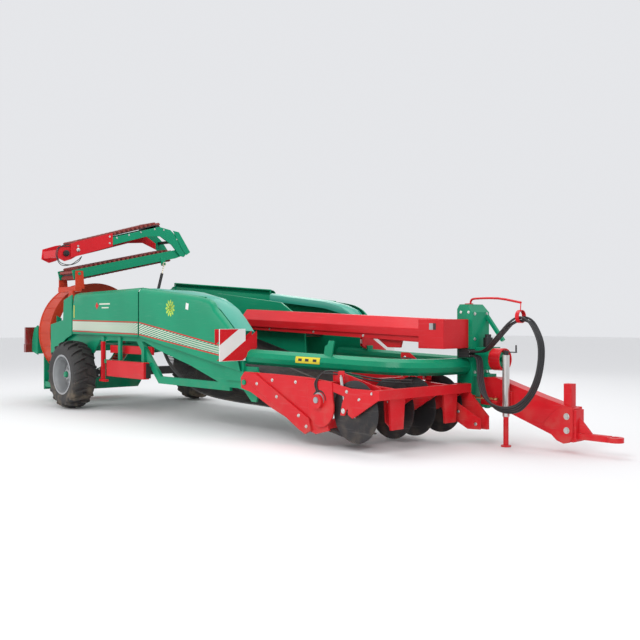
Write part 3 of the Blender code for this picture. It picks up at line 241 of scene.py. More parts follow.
def finish(name, colour, smooth, metal=0.0, tone=0.12, dust=0.2, dustTop=0.9, grainScale=90.0, depth=0.06,
           coat=0.0, worn=0.0, wornColour=(0.5, 0.5, 0.52, 1), sheen=0.5):
    # a painted, metal or rubber finish out of the shared groups
    made = plainMaterial(name, colour, smooth, metal)
    tree = made.node_tree
    shader = tree.nodes["Principled BSDF"]
    coords = tree.nodes.new("ShaderNodeTexCoord").outputs["Object"]
    weather = placed(tree, weathering, coords, {"Colour": (*colour, 1), "Tone": tone, "Dust": dust,
                                                "Dust Top": dustTop, "Smooth": smooth})
    result = weather.outputs["Colour"]
    if worn:
        rubbed = placed(tree, scuffs, coords, {"Amount": worn})
        result = mixColour(tree, rubbed.outputs["Mask"], result, wornColour)
    tree.links.new(result, shader.inputs["Base Color"])
    tree.links.new(weather.outputs["Roughness"], shader.inputs["Roughness"])
    bump = placed(tree, grain, coords, {"Scale": grainScale, "Depth": depth})
    tree.links.new(bump.outputs["Normal"], shader.inputs["Normal"])
    shader.inputs["Specular IOR Level"].default_value = sheen
    shader.inputs["Coat Weight"].default_value = coat
    shader.inputs["Coat Roughness"].default_value = 0.12
    return made


green = finish("emeraldPaint", (0.0, 0.27, 0.135), 0.30, coat=0.12, worn=0.03, sheen=0.16)
# a lighter copy of the emerald paint for the nose hood's top face: painted highlight
paintedHighlightGreen = finish("emeraldPaintPaintedHighlight", (0.035, 0.33, 0.24), 0.30, coat=0.2, dust=0.12, sheen=0.3)
red = finish("signalRedPaint", (0.62, 0.010, 0.018), 0.32, coat=0.12, worn=0.04, sheen=0.16)
orange = finish("orangeRedPaint", (0.56, 0.045, 0.015), 0.4, coat=0.05, worn=0.06, sheen=0.16)
tyreRubber = finish("tyreRubber", (0.022, 0.022, 0.024), 0.62, dust=0.55, dustTop=0.75, grainScale=220,
                    depth=0.25)
beltRubber = finish("blackBeltRubber", (0.03, 0.03, 0.032), 0.6, dust=0.3, dustTop=1.4, grainScale=160,
                    depth=0.2)
hoseRubber = finish("hoseRubber", (0.018, 0.018, 0.02), 0.42, dust=0.08, grainScale=400, depth=0.15)
flightRubber = finish("brownRedRubber", (0.27, 0.04, 0.032), 0.6, dust=0.15, grainScale=160, depth=0.2)
darkSteel = finish("darkSteel", (0.028, 0.028, 0.031), 0.42, metal=0.55, tone=0.3, grainScale=130, depth=0.12,
                   worn=0.08, wornColour=(0.35, 0.34, 0.33, 1))
webSteel = finish("webSteel", (0.05, 0.048, 0.05), 0.45, metal=0.6, tone=0.3, dust=0.25, dustTop=1.5,
                  worn=0.15)
silver = finish("silverPaint", (0.36, 0.37, 0.38), 0.36, metal=0.45, coat=0.2, grainScale=120, depth=0.08)
zinc = finish("zincPlate", (0.62, 0.62, 0.60), 0.32, metal=0.9, tone=0.25, dust=0.1, grainScale=60,
              depth=0.05)
chrome = finish("polishedRod", (0.86, 0.80, 0.62), 0.12, metal=1.0, tone=0.05, dust=0.03, depth=0.01)
brass = finish("brassFitting", (0.72, 0.5, 0.22), 0.28, metal=1.0, dust=0.05, depth=0.03)
blackPlastic = finish("blackPlastic", (0.02, 0.02, 0.022), 0.45, grainScale=300, depth=0.12)
lampRed = finish("lampLens", (0.22, 0.006, 0.008), 0.15, dust=0.05, coat=0.8, grainScale=60, depth=0.3)
amber = finish("amberLens", (0.8, 0.22, 0.01), 0.16, dust=0.03, coat=0.8, grainScale=60, depth=0.3)
cream = finish("creamFilm", (0.62, 0.66, 0.55), 0.4, dust=0.08, depth=0.02)
yellow = finish("yellowFilm", (0.75, 0.62, 0.03), 0.4, dust=0.05, depth=0.02)
white = finish("whiteFilm", (0.80, 0.80, 0.78), 0.38, dust=0.06, depth=0.02)
leafFilm = finish("leafFilm", (0.36, 0.55, 0.05), 0.4, tone=0.5, dust=0.05, depth=0.02)
print("materials ready")
setStage()


# mesh tools
mergeReach = 1e-5


def keep(name, mesh, material, body, replaced=(), smoothAngle=35, width=0.0, segments=2):
    # a finished piece, riding on its body
    data = bpy.data.meshes.new(name)
    mesh.to_mesh(data)
    mesh.free()
    return keepData(name, data, material, body, replaced, smoothAngle, width, segments)


def keepData(name, data, material, body, replaced=(), smoothAngle=35, width=0.0, segments=2):
    item = bpy.data.objects.new(name, data)
    bpy.context.scene.collection.objects.link(item)
    if material:
        data.materials.clear()
        data.materials.append(material)
    if width:
        bevel = item.modifiers.new("softEdges", "BEVEL")
        bevel.width = width
        bevel.segments = segments
        bevel.limit_method = "ANGLE"
        bevel.angle_limit = math.radians(32)
        bevel.harden_normals = False
    data.shade_smooth()
    data.set_sharp_from_angle(angle=math.radians(smoothAngle))
    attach(item, body)
    if replaced:
        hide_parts(*replaced)
    return item


def facedOut(mesh):
    bmesh.ops.recalc_face_normals(mesh, faces=mesh.faces)
    return mesh


def merged(mesh):
    bmesh.ops.remove_doubles(mesh, verts=mesh.verts, dist=mergeReach)
    return mesh


def titled(name):
    return name.title().replace("_", "")


def skin(rows, capped=True, looped=False):
    # a closed skin over rows of points, each row being one turn round the piece
    mesh = bmesh.new()
    verts = [[mesh.verts.new(point) for point in row] for row in rows]
    for first, second in zip(verts, verts[1:] + (verts[:1] if looped else [])):
        for i in range(len(first)):
            after = (i + 1) % len(first)
            mesh.faces.new((first[i], first[after], second[after], second[i]))
    if capped:
        mesh.faces.new(verts[0])
        mesh.faces.new(verts[-1])
    return facedOut(mesh)


def block(x, y, z):
    size = [b - a for a, b in (x, y, z)]
    middle = spot(*[(a + b) / 2 for a, b in (x, y, z)])
    mesh = bmesh.new()
    bmesh.ops.create_cube(mesh, size=1, matrix=Matrix.Translation(middle) @ Matrix.Diagonal((*size, 1)))
    return mesh


def join(meshes):
    whole = bmesh.new()
    for mesh in meshes:
        data = bpy.data.meshes.new("part")
        mesh.to_mesh(data)
        mesh.free()
        whole.from_mesh(data)
        bpy.data.meshes.remove(data)
    return whole


def sheetAcross(axis, outline, low, high):
    # an outline in the plane across an axis, given a thickness along it
    place = {"x": lambda a, p: spot(a, p[0], p[1]), "y": lambda a, p: spot(p[0], a, p[1]),
             "z": lambda a, p: spot(p[0], p[1], a)}[axis]
    mesh = bmesh.new()
    face = mesh.faces.new([mesh.verts.new(place(low, point)) for point in outline])
    grown = bmesh.ops.extrude_face_region(mesh, geom=[face])["geom"]
    shift = place(high, (0, 0)) - place(low, (0, 0))
    bmesh.ops.translate(mesh, verts=[v for v in grown if isinstance(v, bmesh.types.BMVert)], vec=shift)
    return facedOut(mesh)


def roundBar(start, end, radius, sides=20, tip=None):
    start, end = spot(*start), spot(*end)
    along = end - start
    turn = along.to_track_quat("Z", "Y").to_matrix().to_4x4()
    mesh = bmesh.new()
    bmesh.ops.create_cone(mesh, cap_ends=True, segments=sides, radius1=radius,
                          radius2=radius if tip is None else tip, depth=along.length,
                          matrix=Matrix.Translation((start + end) / 2) @ turn)
    return mesh


def spun(axis, centre, profile, steps=72):
    # a closed profile of (along, radius) points turned about an axis
    mesh = bmesh.new()
    centre = spot(*centre)
    corner = {"x": lambda a, r: (a, 0, r), "y": lambda a, r: (0, a, r), "z": lambda a, r: (r, 0, a)}[axis]
    ring = [mesh.verts.new(centre + Vector(corner(*point))) for point in profile]
    edges = [mesh.edges.new(pair) for pair in zip(ring, ring[1:] + ring[:1])]
    direction = {"x": (1, 0, 0), "y": (0, 1, 0), "z": (0, 0, 1)}[axis]
    bmesh.ops.spin(mesh, geom=ring + edges, cent=centre, axis=direction, angle=2 * math.pi, steps=steps,
                   use_merge=True)
    return facedOut(merged(mesh))


def smoothLine(points, count):
    knots = [Vector(p) for p in points]
    knots = [2 * knots[0] - knots[1]] + knots + [2 * knots[-1] - knots[-2]]
    path = []
    for a, b, c, d in zip(knots, knots[1:], knots[2:], knots[3:]):
        for i in range(count):
            t = i / count
            path.append(0.5 * (2 * b + (c - a) * t + (2 * a - 5 * b + 4 * c - d) * t * t
                               + (3 * b - a - 3 * c + d) * t ** 3))
    return path + [knots[-2]]


def tubeCurve(name, points, radius, resolution=4):
    curve = bpy.data.curves.new(name, "CURVE")
    curve.dimensions = "3D"
    curve.bevel_depth = radius
    curve.bevel_resolution = resolution
    curve.use_fill_caps = True
    spline = curve.splines.new("POLY")
    spline.points.add(len(points) - 1)
    for point, place in zip(spline.points, points):
        point.co = (*spot(*place), 1)
    return curve


def evaluated(item):
    # the item's shape with its curve or modifier worked out, as a plain mesh
    graph = bpy.context.evaluated_depsgraph_get()
    return bpy.data.meshes.new_from_object(item.evaluated_get(graph))


def tubeMesh(points, radius, resolution=4):
    curve = tubeCurve("tube", points, radius, resolution)
    holder = bpy.data.objects.new("tube", curve)
    bpy.context.scene.collection.objects.link(holder)
    data = evaluated(holder)
    mesh = bmesh.new()
    mesh.from_mesh(data)
    bpy.data.objects.remove(holder)
    return facedOut(merged(mesh))


def pipe(name, route, radius, body):
    keep(name, tubeMesh(smoothLine(route, 6), radius), blackPlastic, body)


def softened(node, material, body, width=0.004, segments=2):
    # the node's own shape with its edges broken, as folded and welded plate has
    mesh = bmesh.new()
    mesh.from_mesh(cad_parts[node].data)
    merged(mesh)
    bmesh.ops.dissolve_limit(mesh, angle_limit=math.radians(0.6), verts=mesh.verts, edges=mesh.edges)
    return keep(node + "Skin", mesh, material, body, (node,), width=width, segments=segments)


# hoses: the same routes as the frame's own
hose = {"diameter": 0.026, "count": 4, "spacing": 0.032, "armTip": (7.98, 0.36, 1.72), "ringDrop": 0.16,
        "rest": 0.049, "rows": (1.075, 1.125), "face": 7.1303, "rowY": 0.607}


def hoseSide(index):
    return (index - (hose["count"] - 1) / 2) * hose["spacing"]


def hosePath(index, count=6):
    side = hoseSide(index)
    drop = 0.022 * index
    tipX, tipY, tipZ = hose["armTip"]
    rest = tipZ - hose["ringDrop"] - math.sqrt(hose["rest"] ** 2 - side ** 2)
    leave, end = hose["rows"]
    middle = [
        (7.15, 0.607, leave), (7.20, 0.600, 1.055), (7.25, 0.565, 0.995), (7.305, 0.500, 0.890),
        (7.375, 0.425, 0.765), (7.475, 0.355, 0.645 - drop / 2), (7.62, 0.310, 0.550 - drop),
        (7.80, 0.290, 0.510 - drop), (7.98, 0.285, 0.545 - drop), (8.13, 0.290, 0.660 - drop / 2),
        (8.225, 0.300, 0.830 - drop / 3), (8.27, 0.315, 1.03), (8.265, 0.330, 1.23), (8.20, 0.345, 1.39),
        (8.10, 0.357, (rest + 1.48) / 2), (tipX - 0.005, tipY, rest), (7.85, 0.367, (rest + 1.43) / 2),
        (7.72, 0.390, 1.385), (7.59, 0.430, 1.285), (7.46, 0.490, 1.200), (7.34, 0.555, 1.148),
        (7.24, 0.600, end + 0.002), (7.15, 0.607, end),
    ]
    route = [(x, y + side, z) for x, y, z in middle]
    first = Vector((hose["face"], route[0][1], leave))
    last = Vector((hose["face"], route[-1][1], end))
    return [first] + smoothLine(route, count) + [last]


def makeHoses():
    for index in range(hose["count"]):
        path = hosePath(index)
        piece = bpy.data.objects.new(f"hose{index + 1}",
                                     tubeCurve(f"hose{index + 1}", path, hose["diameter"] / 2))
        bpy.context.scene.collection.objects.link(piece)
        piece.data.materials.append(hoseRubber)
        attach(piece, "chassis")
        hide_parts(f"hose_{index + 1}")


def makeCouplings():
    ferrules, tips = [], []
    for index in range(hose["count"]):
        y = hose["rowY"] + hoseSide(index)
        for z in hose["rows"]:
            profile = [(0.0, 0.0135), (0.022, 0.0135), (0.024, 0.0122), (0.028, 0.0122), (0.030, 0.009),
                       (0.0, 0.009)]
            tips.append(spun("x", (7.1, y, z), profile, 24))
            ferrules.append(spun("x", (7.101, y, z), [(0.0, 0.0155), (0.012, 0.0155), (0.012, 0.012),
                                                     (0.0, 0.012)], 6))
    keep("hoseTips", join(tips), brass, "chassis")
    keep("hoseNuts", join(ferrules), zinc, "chassis", width=0.0008)
    softened("hose_couplings", darkSteel, "chassis", width=0.002)


makeHoses()
makeCouplings()
print("hoses ready")


# geometry node trees
def nodeTree(name, inputs):
    tree = bpy.data.node_groups.new(name, "GeometryNodeTree")
    tree.interface.new_socket("Geometry", in_out="INPUT", socket_type="NodeSocketGeometry")
    tree.interface.new_socket("Geometry", in_out="OUTPUT", socket_type="NodeSocketGeometry")
    for label, kind, value in inputs:
        socket = tree.interface.new_socket(label, in_out="INPUT", socket_type=kind)
        if value is not None:
            socket.default_value = value
    return tree, tree.nodes.new("NodeGroupInput"), tree.nodes.new("NodeGroupOutput")


def addNode(tree, kind, links=(), values=(), **settings):
    node = tree.nodes.new(kind)
    for key, value in settings.items():
        setattr(node, key, value)
    for socket, source in links:
        tree.links.new(source, node.inputs[socket])
    for socket, value in values:
        node.inputs[socket].default_value = value
    return node


def closeTree(tree, outside, geometry, materialSocket):
    real = addNode(tree, "GeometryNodeRealizeInstances", [("Geometry", geometry)])
    dressed = addNode(tree, "GeometryNodeSetMaterial",
                      [("Geometry", real.outputs[0]), ("Material", materialSocket)])
    tree.links.new(dressed.outputs[0], outside.inputs["Geometry"])


def makeCrossBars():
    # bars or slats laid across a belt's path, each square to the path
    tree, inside, outside = nodeTree("crossBars", [
        ("Count", "NodeSocketInt", 60), ("Width", "NodeSocketFloat", 1.0),
        ("Thick", "NodeSocketFloat", 0.011),
        ("Tall", "NodeSocketFloat", 0.011), ("Round", "NodeSocketBool", True), ("Sides", "NodeSocketInt", 8),
        ("Across X", "NodeSocketBool", False), ("Material", "NodeSocketMaterial", None)])
    line = addNode(tree, "GeometryNodeMeshToCurve", [("Mesh", inside.outputs["Geometry"])])
    spaced = addNode(tree, "GeometryNodeResampleCurve",
                     [("Curve", line.outputs[0]), ("Count", inside.outputs["Count"])])
    half = addNode(tree, "ShaderNodeMath", [(0, inside.outputs["Thick"])], [(1, 0.5)], operation="MULTIPLY")
    barMesh = addNode(tree, "GeometryNodeMeshCylinder",
                      [("Vertices", inside.outputs["Sides"]), ("Radius", half.outputs[0]),
                       ("Depth", inside.outputs["Width"])])
    laid = addNode(tree, "GeometryNodeTransform", [("Geometry", barMesh.outputs[0])],
                   [("Rotation", (math.pi / 2, 0, 0))])
    size = addNode(tree, "ShaderNodeCombineXYZ",
                   [("X", inside.outputs["Thick"]), ("Y", inside.outputs["Width"]),
                                                  ("Z", inside.outputs["Tall"])])
    slat = addNode(tree, "GeometryNodeMeshCube", [("Size", size.outputs[0])])
    shape = addNode(tree, "GeometryNodeSwitch",
                    [("Switch", inside.outputs["Round"]), ("False", slat.outputs[0]),
                                                 ("True", laid.outputs[0])], input_type="GEOMETRY")
    turnedShape = addNode(tree, "GeometryNodeTransform", [("Geometry", shape.outputs[0])],
                          [("Rotation", (0, 0, math.pi / 2))])
    chosen = addNode(tree, "GeometryNodeSwitch",
                     [("Switch", inside.outputs["Across X"]), ("False", shape.outputs[0]),
                                                  ("True", turnedShape.outputs[0])], input_type="GEOMETRY")
    tangent = addNode(tree, "GeometryNodeInputTangent")
    facingX = addNode(tree, "FunctionNodeAlignRotationToVector", [("Vector", tangent.outputs[0])], axis="X",
                      pivot_axis="Y")
    facingY = addNode(tree, "FunctionNodeAlignRotationToVector", [("Vector", tangent.outputs[0])], axis="Y",
                      pivot_axis="X")
    facing = addNode(tree, "GeometryNodeSwitch", [("Switch", inside.outputs["Across X"]),
                                                  ("False", facingX.outputs[0]),
                                                  ("True", facingY.outputs[0])],
                     input_type="ROTATION")
    copies = addNode(tree, "GeometryNodeInstanceOnPoints",
                     [("Points", spaced.outputs[0]), ("Instance", chosen.outputs[0]),
                      ("Rotation", facing.outputs[0])])
    closeTree(tree, outside, copies.outputs[0], inside.outputs["Material"])
    return tree


def makeBoltHeads():
    # a washer and a hexagon head on each point, facing one way
    tree, inside, outside = nodeTree("boltHeads", [
        ("Radius", "NodeSocketFloat", 0.012), ("Height", "NodeSocketFloat", 0.008),
        ("Facing", "NodeSocketVector", (0, -1, 0)), ("Material", "NodeSocketMaterial", None)])
    head = addNode(tree, "GeometryNodeMeshCylinder", [("Radius", inside.outputs["Radius"]),
                                                      ("Depth", inside.outputs["Height"])], [("Vertices", 6)])
    thin = addNode(tree, "ShaderNodeMath", [(0, inside.outputs["Height"])], [(1, 0.3)], operation="MULTIPLY")
    wide = addNode(tree, "ShaderNodeMath", [(0, inside.outputs["Radius"])], [(1, 1.35)], operation="MULTIPLY")
    washer = addNode(tree, "GeometryNodeMeshCylinder",
                     [("Radius", wide.outputs[0]), ("Depth", thin.outputs[0])],
                     [("Vertices", 16)])
    lift = addNode(tree, "ShaderNodeMath", [(0, inside.outputs["Height"])], [(1, 0.5)], operation="MULTIPLY")
    up = addNode(tree, "ShaderNodeCombineXYZ", [("Z", lift.outputs[0])])
    raised = addNode(tree, "GeometryNodeTransform",
                     [("Geometry", head.outputs[0]), ("Translation", up.outputs[0])])
    bolt = addNode(tree, "GeometryNodeJoinGeometry")
    tree.links.new(raised.outputs[0], bolt.inputs[0])
    tree.links.new(washer.outputs[0], bolt.inputs[0])
    facing = addNode(tree, "FunctionNodeAlignRotationToVector", [("Vector", inside.outputs["Facing"])],
                     axis="Z")
    copies = addNode(tree, "GeometryNodeInstanceOnPoints",
                     [("Points", inside.outputs["Geometry"]), ("Instance", bolt.outputs[0]),
                      ("Rotation", facing.outputs[0])])
    closeTree(tree, outside, copies.outputs[0], inside.outputs["Material"])
    return tree


def makeSpinCopies():
    # copies of a shape turned about an axis through a centre
    tree, inside, outside = nodeTree("spinCopies", [
        ("Count", "NodeSocketInt", 18), ("Phase", "NodeSocketFloat", 0.0),
        ("Axis", "NodeSocketVector", (0, 1, 0)),
        ("Centre", "NodeSocketVector", (0, 0, 0)), ("Material", "NodeSocketMaterial", None)])
    back = addNode(tree, "ShaderNodeVectorMath", [(0, inside.outputs["Centre"])], [(1, (-1, -1, -1))],
                   operation="MULTIPLY")
    home = addNode(tree, "GeometryNodeTransform", [("Geometry", inside.outputs["Geometry"]),
                                                   ("Translation", back.outputs[0])])
    points = addNode(tree, "GeometryNodeMeshLine", [("Count", inside.outputs["Count"])],
                     [("Offset", (0, 0, 0))])
    index = addNode(tree, "GeometryNodeInputIndex")
    share = addNode(tree, "ShaderNodeMath", [(0, index.outputs[0]), (1, inside.outputs["Count"])],
                    operation="DIVIDE")
    angle = addNode(tree, "ShaderNodeMath", [(0, share.outputs[0])], [(1, math.tau)], operation="MULTIPLY")
    turned = addNode(tree, "ShaderNodeMath", [(0, angle.outputs[0]), (1, inside.outputs["Phase"])],
                     operation="ADD")
    turn = addNode(tree, "FunctionNodeAxisAngleToRotation", [("Axis", inside.outputs["Axis"]),
                                                             ("Angle", turned.outputs[0])])
    copies = addNode(tree, "GeometryNodeInstanceOnPoints",
                     [("Points", points.outputs[0]), ("Instance", home.outputs[0]),
                      ("Rotation", turn.outputs[0])])
    placedCopies = addNode(tree, "GeometryNodeTransform", [("Geometry", copies.outputs[0]),
                                                           ("Translation", inside.outputs["Centre"])])
    closeTree(tree, outside, placedCopies.outputs[0], inside.outputs["Material"])
    return tree


crossBars = makeCrossBars()
boltHeads = makeBoltHeads()
spinCopies = makeSpinCopies()


def grow(name, data, tree, values, body, replaced=(), smoothAngle=35):
    # runs a tree on a mesh and keeps the result as a plain piece
    seed = bpy.data.objects.new(name + "Seed", data)
    bpy.context.scene.collection.objects.link(seed)
    pattern = seed.modifiers.new("pattern", "NODES")
    pattern.node_group = tree
    sockets = {item.name: item.identifier for item in tree.interface.items_tree if item.in_out == "INPUT"}
    for label, value in values.items():
        pattern[sockets[label]] = value
    bpy.context.view_layer.update()
    made = evaluated(seed)
    bpy.data.objects.remove(seed)
    made.name = name
    return keepData(name, made, None, body, replaced, smoothAngle)


def pointMesh(points):
    data = bpy.data.meshes.new("points")
    data.from_pydata([tuple(spot(*point)) for point in points], [], [])
    return data


def lineMesh(points):
    data = bpy.data.meshes.new("line")
    pairs = [(i, (i + 1) % len(points)) for i in range(len(points))]
    data.from_pydata([tuple(spot(*point)) for point in points], pairs, [])
    return data


def meshData(mesh):
    data = bpy.data.meshes.new("shape")
    mesh.to_mesh(data)
    mesh.free()
    return data


def bolts(name, points, facing, body, radius=0.012, height=0.009, material=None):
    return grow(name, pointMesh(points), boltHeads,
                {"Radius": radius, "Height": height, "Facing": facing, "Material": material or zinc}, body)


# wheels: carcass, lugs, rim and nuts
wheel = {"treadRadius": 0.536, "rimRadius": 0.33, "half": 0.205, "lugs": 19, "lugTop": 0.583, "nuts": 8}


def lugShape(side, wheelY, wheelZ):
    # one slanted lug at the top of the tyre, from the middle out to the shoulder
    half = wheel["half"]
    rows = []
    for share in (0.0, 0.35, 0.7, 1.0):
        y = wheelY + side * (-0.012 + share * (half + 0.006))
        lean = 0.155 * share ** 1.25
        top = wheel["lugTop"] - 0.05 * share ** 3
        foot = wheel["treadRadius"] - 0.075 * share ** 2.5 - 0.008
        thick = 0.021 + 0.006 * share
        rows.append([spot(math.sin(angle) * radius, y, wheelZ + math.cos(angle) * radius)
                     for angle, radius in (((lean - thick - 0.012), foot), ((lean - thick), top),
                                           ((lean + thick), top), ((lean + thick + 0.012), foot))])
    return skin(rows)


def makeWheel(sideName, side):
    body = "wheel_" + sideName
    low, high = (Vector(corner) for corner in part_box("tyre_" + sideName))
    middle = (low + high) / 2
    wheelY, wheelZ = middle.y, middle.z
    half, rimR, treadR = wheel["half"], wheel["rimRadius"], wheel["treadRadius"]
    carcass = [(-half + 0.03, rimR + 0.0), (-half + 0.012, rimR + 0.012), (-half + 0.016, rimR + 0.03),
               (-half + 0.002, rimR + 0.09), (-half, rimR + 0.13), (-half + 0.012, treadR - 0.04),
               (-half + 0.04, treadR - 0.012), (-0.09, treadR - 0.002), (0.0, treadR), (0.09, treadR - 0.002),
               (half - 0.04, treadR - 0.012), (half - 0.012, treadR - 0.04), (half, rimR + 0.13),
               (half - 0.002, rimR + 0.09), (half - 0.016, rimR + 0.03), (half - 0.012, rimR + 0.012),
               (half - 0.03, rimR)]
    keep("tyre" + sideName.title(), spun("y", (0, wheelY, wheelZ), carcass, 88), tyreRubber, body,
         ("tyre_" + sideName,), smoothAngle=50)
    centre = tuple(spot(0, wheelY, wheelZ))
    for hand, phase in ((-1, 0.0), (1, math.pi / wheel["lugs"])):
        grow(f"lugs{sideName.title()}{'Out' if hand == side else 'In'}",
             meshData(lugShape(hand, wheelY, wheelZ)), spinCopies,
             {"Count": wheel["lugs"], "Phase": phase, "Centre": centre, "Material": tyreRubber}, body,
             smoothAngle=30)
    well = rimR - 0.035
    dish = [(-half + 0.02, rimR + 0.012), (-half + 0.02, rimR - 0.008), (-half + 0.05, rimR - 0.016),
            (-0.12, well),
            (-0.02, well - 0.012), (0.0, well - 0.02), (0.012, 0.20), (0.035, 0.17), (0.035, 0.12),
            (0.075, 0.10),
            (0.095, 0.085), (0.10, 0.06), (0.07, 0.055), (0.05, 0.06), (0.02, 0.10), (0.015, 0.165),
            (-0.008, 0.20),
            (-0.02, well - 0.028), (-0.12, well - 0.01), (-half + 0.05, rimR - 0.026),
            (-half + 0.01, rimR - 0.018),
            (-half + 0.01, rimR + 0.012)]
    outward = [(side * a, r) for a, r in dish]
    rim = spun("y", (0, wheelY, wheelZ), outward, 72)
    back = [(-side * a, r) for a, r in ((-half + 0.02, rimR + 0.012), (-half + 0.02, rimR - 0.008),
                                        (-half + 0.05, rimR - 0.016), (-0.10, well), (0.10, well),
                                        (0.10, well - 0.008), (-0.11, well - 0.008),
                                        (-half + 0.05, rimR - 0.024),
                                        (-half + 0.012, rimR - 0.016), (-half + 0.012, rimR + 0.012))]
    barrel = spun("y", (0, wheelY, wheelZ), back, 72)
    keep("rim" + sideName.title(), join([rim, barrel]), silver, body, ("rim_" + sideName,))
    capY = wheelY + side * 0.095
    keep("hubCap" + sideName.title(), spun("y", (0, capY, wheelZ), [(0, 0.052), (side * 0.03, 0.05),
         (side * 0.042, 0.042), (side * 0.046, 0.0005), (0, 0.0005)], 40), green, body)
    nutFace = roundBar((0, wheelY + side * 0.03, wheelZ + 0.145), (0, wheelY + side * 0.052, wheelZ + 0.145),
                       0.013, 6)
    grow("wheelNuts" + sideName.title(), meshData(nutFace), spinCopies,
         {"Count": wheel["nuts"], "Centre": centre, "Material": zinc}, body)


makeWheel("right", -1)
makeWheel("left", 1)
print("wheels ready")


# covers: thin sheets with a rolled top edge
cover = {"sheet": 0.006, "wall": 1.103, "roll": 0.083, "rollSteps": 10, "dropSteps": 5,
         "gap": 0.004, "lipDrop": 0.006, "lipWidth": 0.03, "cutStep": 0.03,
         "tops": {"right_rear": [(-0.34, 1.74), (-0.29, 1.985), (1.925, 2.022)],
                  "right_front": [(1.955, 2.018), (3.66, 1.836), (4.00, 1.66), (4.40, 1.35)],
                  "left_rear": [(-0.34, 1.98), (-0.31, 2.232), (2.66, 2.018)],
                  "left_front": [(2.72, 1.953), (4.24, 1.796), (4.72, 1.70), (4.93, 1.50)]},
         "bottoms": {"right_rear": [(-0.34, 1.28), (1.925, 1.26)],
                     "right_front": [(1.955, 1.26), (4.58, 0.84)],
                     "left_rear": [(-0.34, 1.28), (2.66, 1.18)], "left_front": [(2.72, 1.17), (4.96, 0.86)]}}


def between(points, x):
    # height on a polyline at x
    for (x0, z0), (x1, z1) in zip(points, points[1:]):
        if x0 <= x <= x1:
            return z0 + (z1 - z0) * (x - x0) / (x1 - x0)
    return points[-1][1] if x > points[-1][0] else points[0][1]


def sheet(rows, thick):
    # a thin closed sheet through rows of points, thickened inwards
    mesh = bmesh.new()
    verts = [[mesh.verts.new(point) for point in row] for row in rows]
    for first, second in zip(verts, verts[1:]):
        for i in range(len(first) - 1):
            mesh.faces.new((first[i], first[i + 1], second[i + 1], second[i]))
    facedOut(mesh)
    bmesh.ops.solidify(mesh, geom=mesh.faces[:], thickness=thick)
    return facedOut(mesh)


def coverSection(side, top, bottom):
    # from the hinge edge over the rolled shoulder and down to the turned-in lip
    wall, roll, steps = cover["wall"] - cover["gap"], cover["roll"], cover["dropSteps"]
    turns = cover["rollSteps"]
    (topX, topZ), (bottomX, bottomZ) = top, bottom
    shoulder = [(wall - roll + math.sin(a) * roll, topZ - roll + math.cos(a) * roll)
                for a in [math.pi / 2 * i / turns for i in range(turns + 1)]]
    drop = [(wall, topZ - roll + (bottomZ - topZ + roll) * i / steps) for i in range(1, steps + 1)]
    lipZ = bottomZ - cover["lipDrop"]
    lip = [(wall - cover["gap"], lipZ), (wall - cover["lipWidth"], lipZ)]
    points = []
    for y, z in shoulder + drop + lip:
        share = min(max((topZ - z) / (topZ - bottomZ), 0), 1)
        points.append(spot(topX + (bottomX - topX) * share, side * y, z))
    return points


def makeCover(name, side):
    top, bottom = cover["tops"][name], cover["bottoms"][name]
    first, last = (1, 2) if name.endswith("rear") else (0, len(top) - 1)
    start, end = top[first][0], top[last][0]
    low, high = bottom[0][0], bottom[-1][0]
    smoothTop = [(p.x, p.z) for p in smoothLine([(x, 0, z) for x, z in top[first:]], 6)]
    rows = []
    if name.endswith("rear"):
        # the cut-back rear end, which leans from its shoulder down to the panel's edge
        rows.append(coverSection(side, (top[0][0], top[0][1]), (low, bottom[0][1])))
        rows.append(coverSection(side, ((top[0][0] + start) / 2, (top[0][1] + top[1][1]) / 2),
                                 (low + cover["cutStep"], bottom[0][1])))
        low += 2 * cover["cutStep"]
    for x, z in smoothTop:
        share = (x - start) / (end - start)
        bottomX = low + (high - low) * share
        rows.append(coverSection(side, (x, z), (bottomX, between(bottom, bottomX))))
    keep("cover" + titled(name), sheet(rows, cover["sheet"]), green, "cover_" + name,
         ("cover_" + name,), smoothAngle=30)


nose = {"rows": 12, "steps": 6, "innerY": 0.772, "width": 0.214, "skirtY": 0.765, "skirt": (0.10, 0.02),
        "crown": 0.022, "thick": 0.005}


def makeNose(sideName, side, inner, outer):
    # the fixed hood that curves down between the cover and the picking channel
    rows = []
    for index in range(nose["rows"] + 1):
        share = index / nose["rows"]
        innerX = inner[0][0] + (inner[-1][0] - inner[0][0]) * share
        outerX = outer[0][0] + (outer[-1][0] - outer[0][0]) * share
        innerZ, outerZ = between(inner, innerX), between(outer, outerX)
        row = [spot(innerX, side * nose["innerY"], innerZ - nose["skirt"][0]),
               spot(innerX, side * nose["skirtY"], innerZ - nose["skirt"][1])]
        for step in range(nose["steps"] + 1):
            across = step / nose["steps"]
            crown = nose["crown"] * math.sin(math.pi * across)
            row.append(spot(innerX + (outerX - innerX) * across,
                            side * (nose["innerY"] + nose["width"] * across),
                            innerZ + (outerZ - innerZ) * across + crown))
        rows.append(row)
    # the hood's lighter green is a painted highlight on its top face
    keep("noseHood" + sideName, sheet(rows, nose["thick"]), paintedHighlightGreen, "chassis",
         smoothAngle=25)


def clipped(corners, way, limit):
    # the part of a polygon that lies beyond limit, measured along way
    kept = []
    for (u0, v0), (u1, v1) in zip(corners, corners[1:] + corners[:1]):
        a = way[0] * u0 + way[1] * v0 - limit
        b = way[0] * u1 + way[1] * v1 - limit
        if a >= 0:
            kept.append((u0, v0))
        if a * b < 0:
            t = a / (a - b)
            kept.append((u0 + (u1 - u0) * t, v0 + (v1 - v0) * t))
    return kept


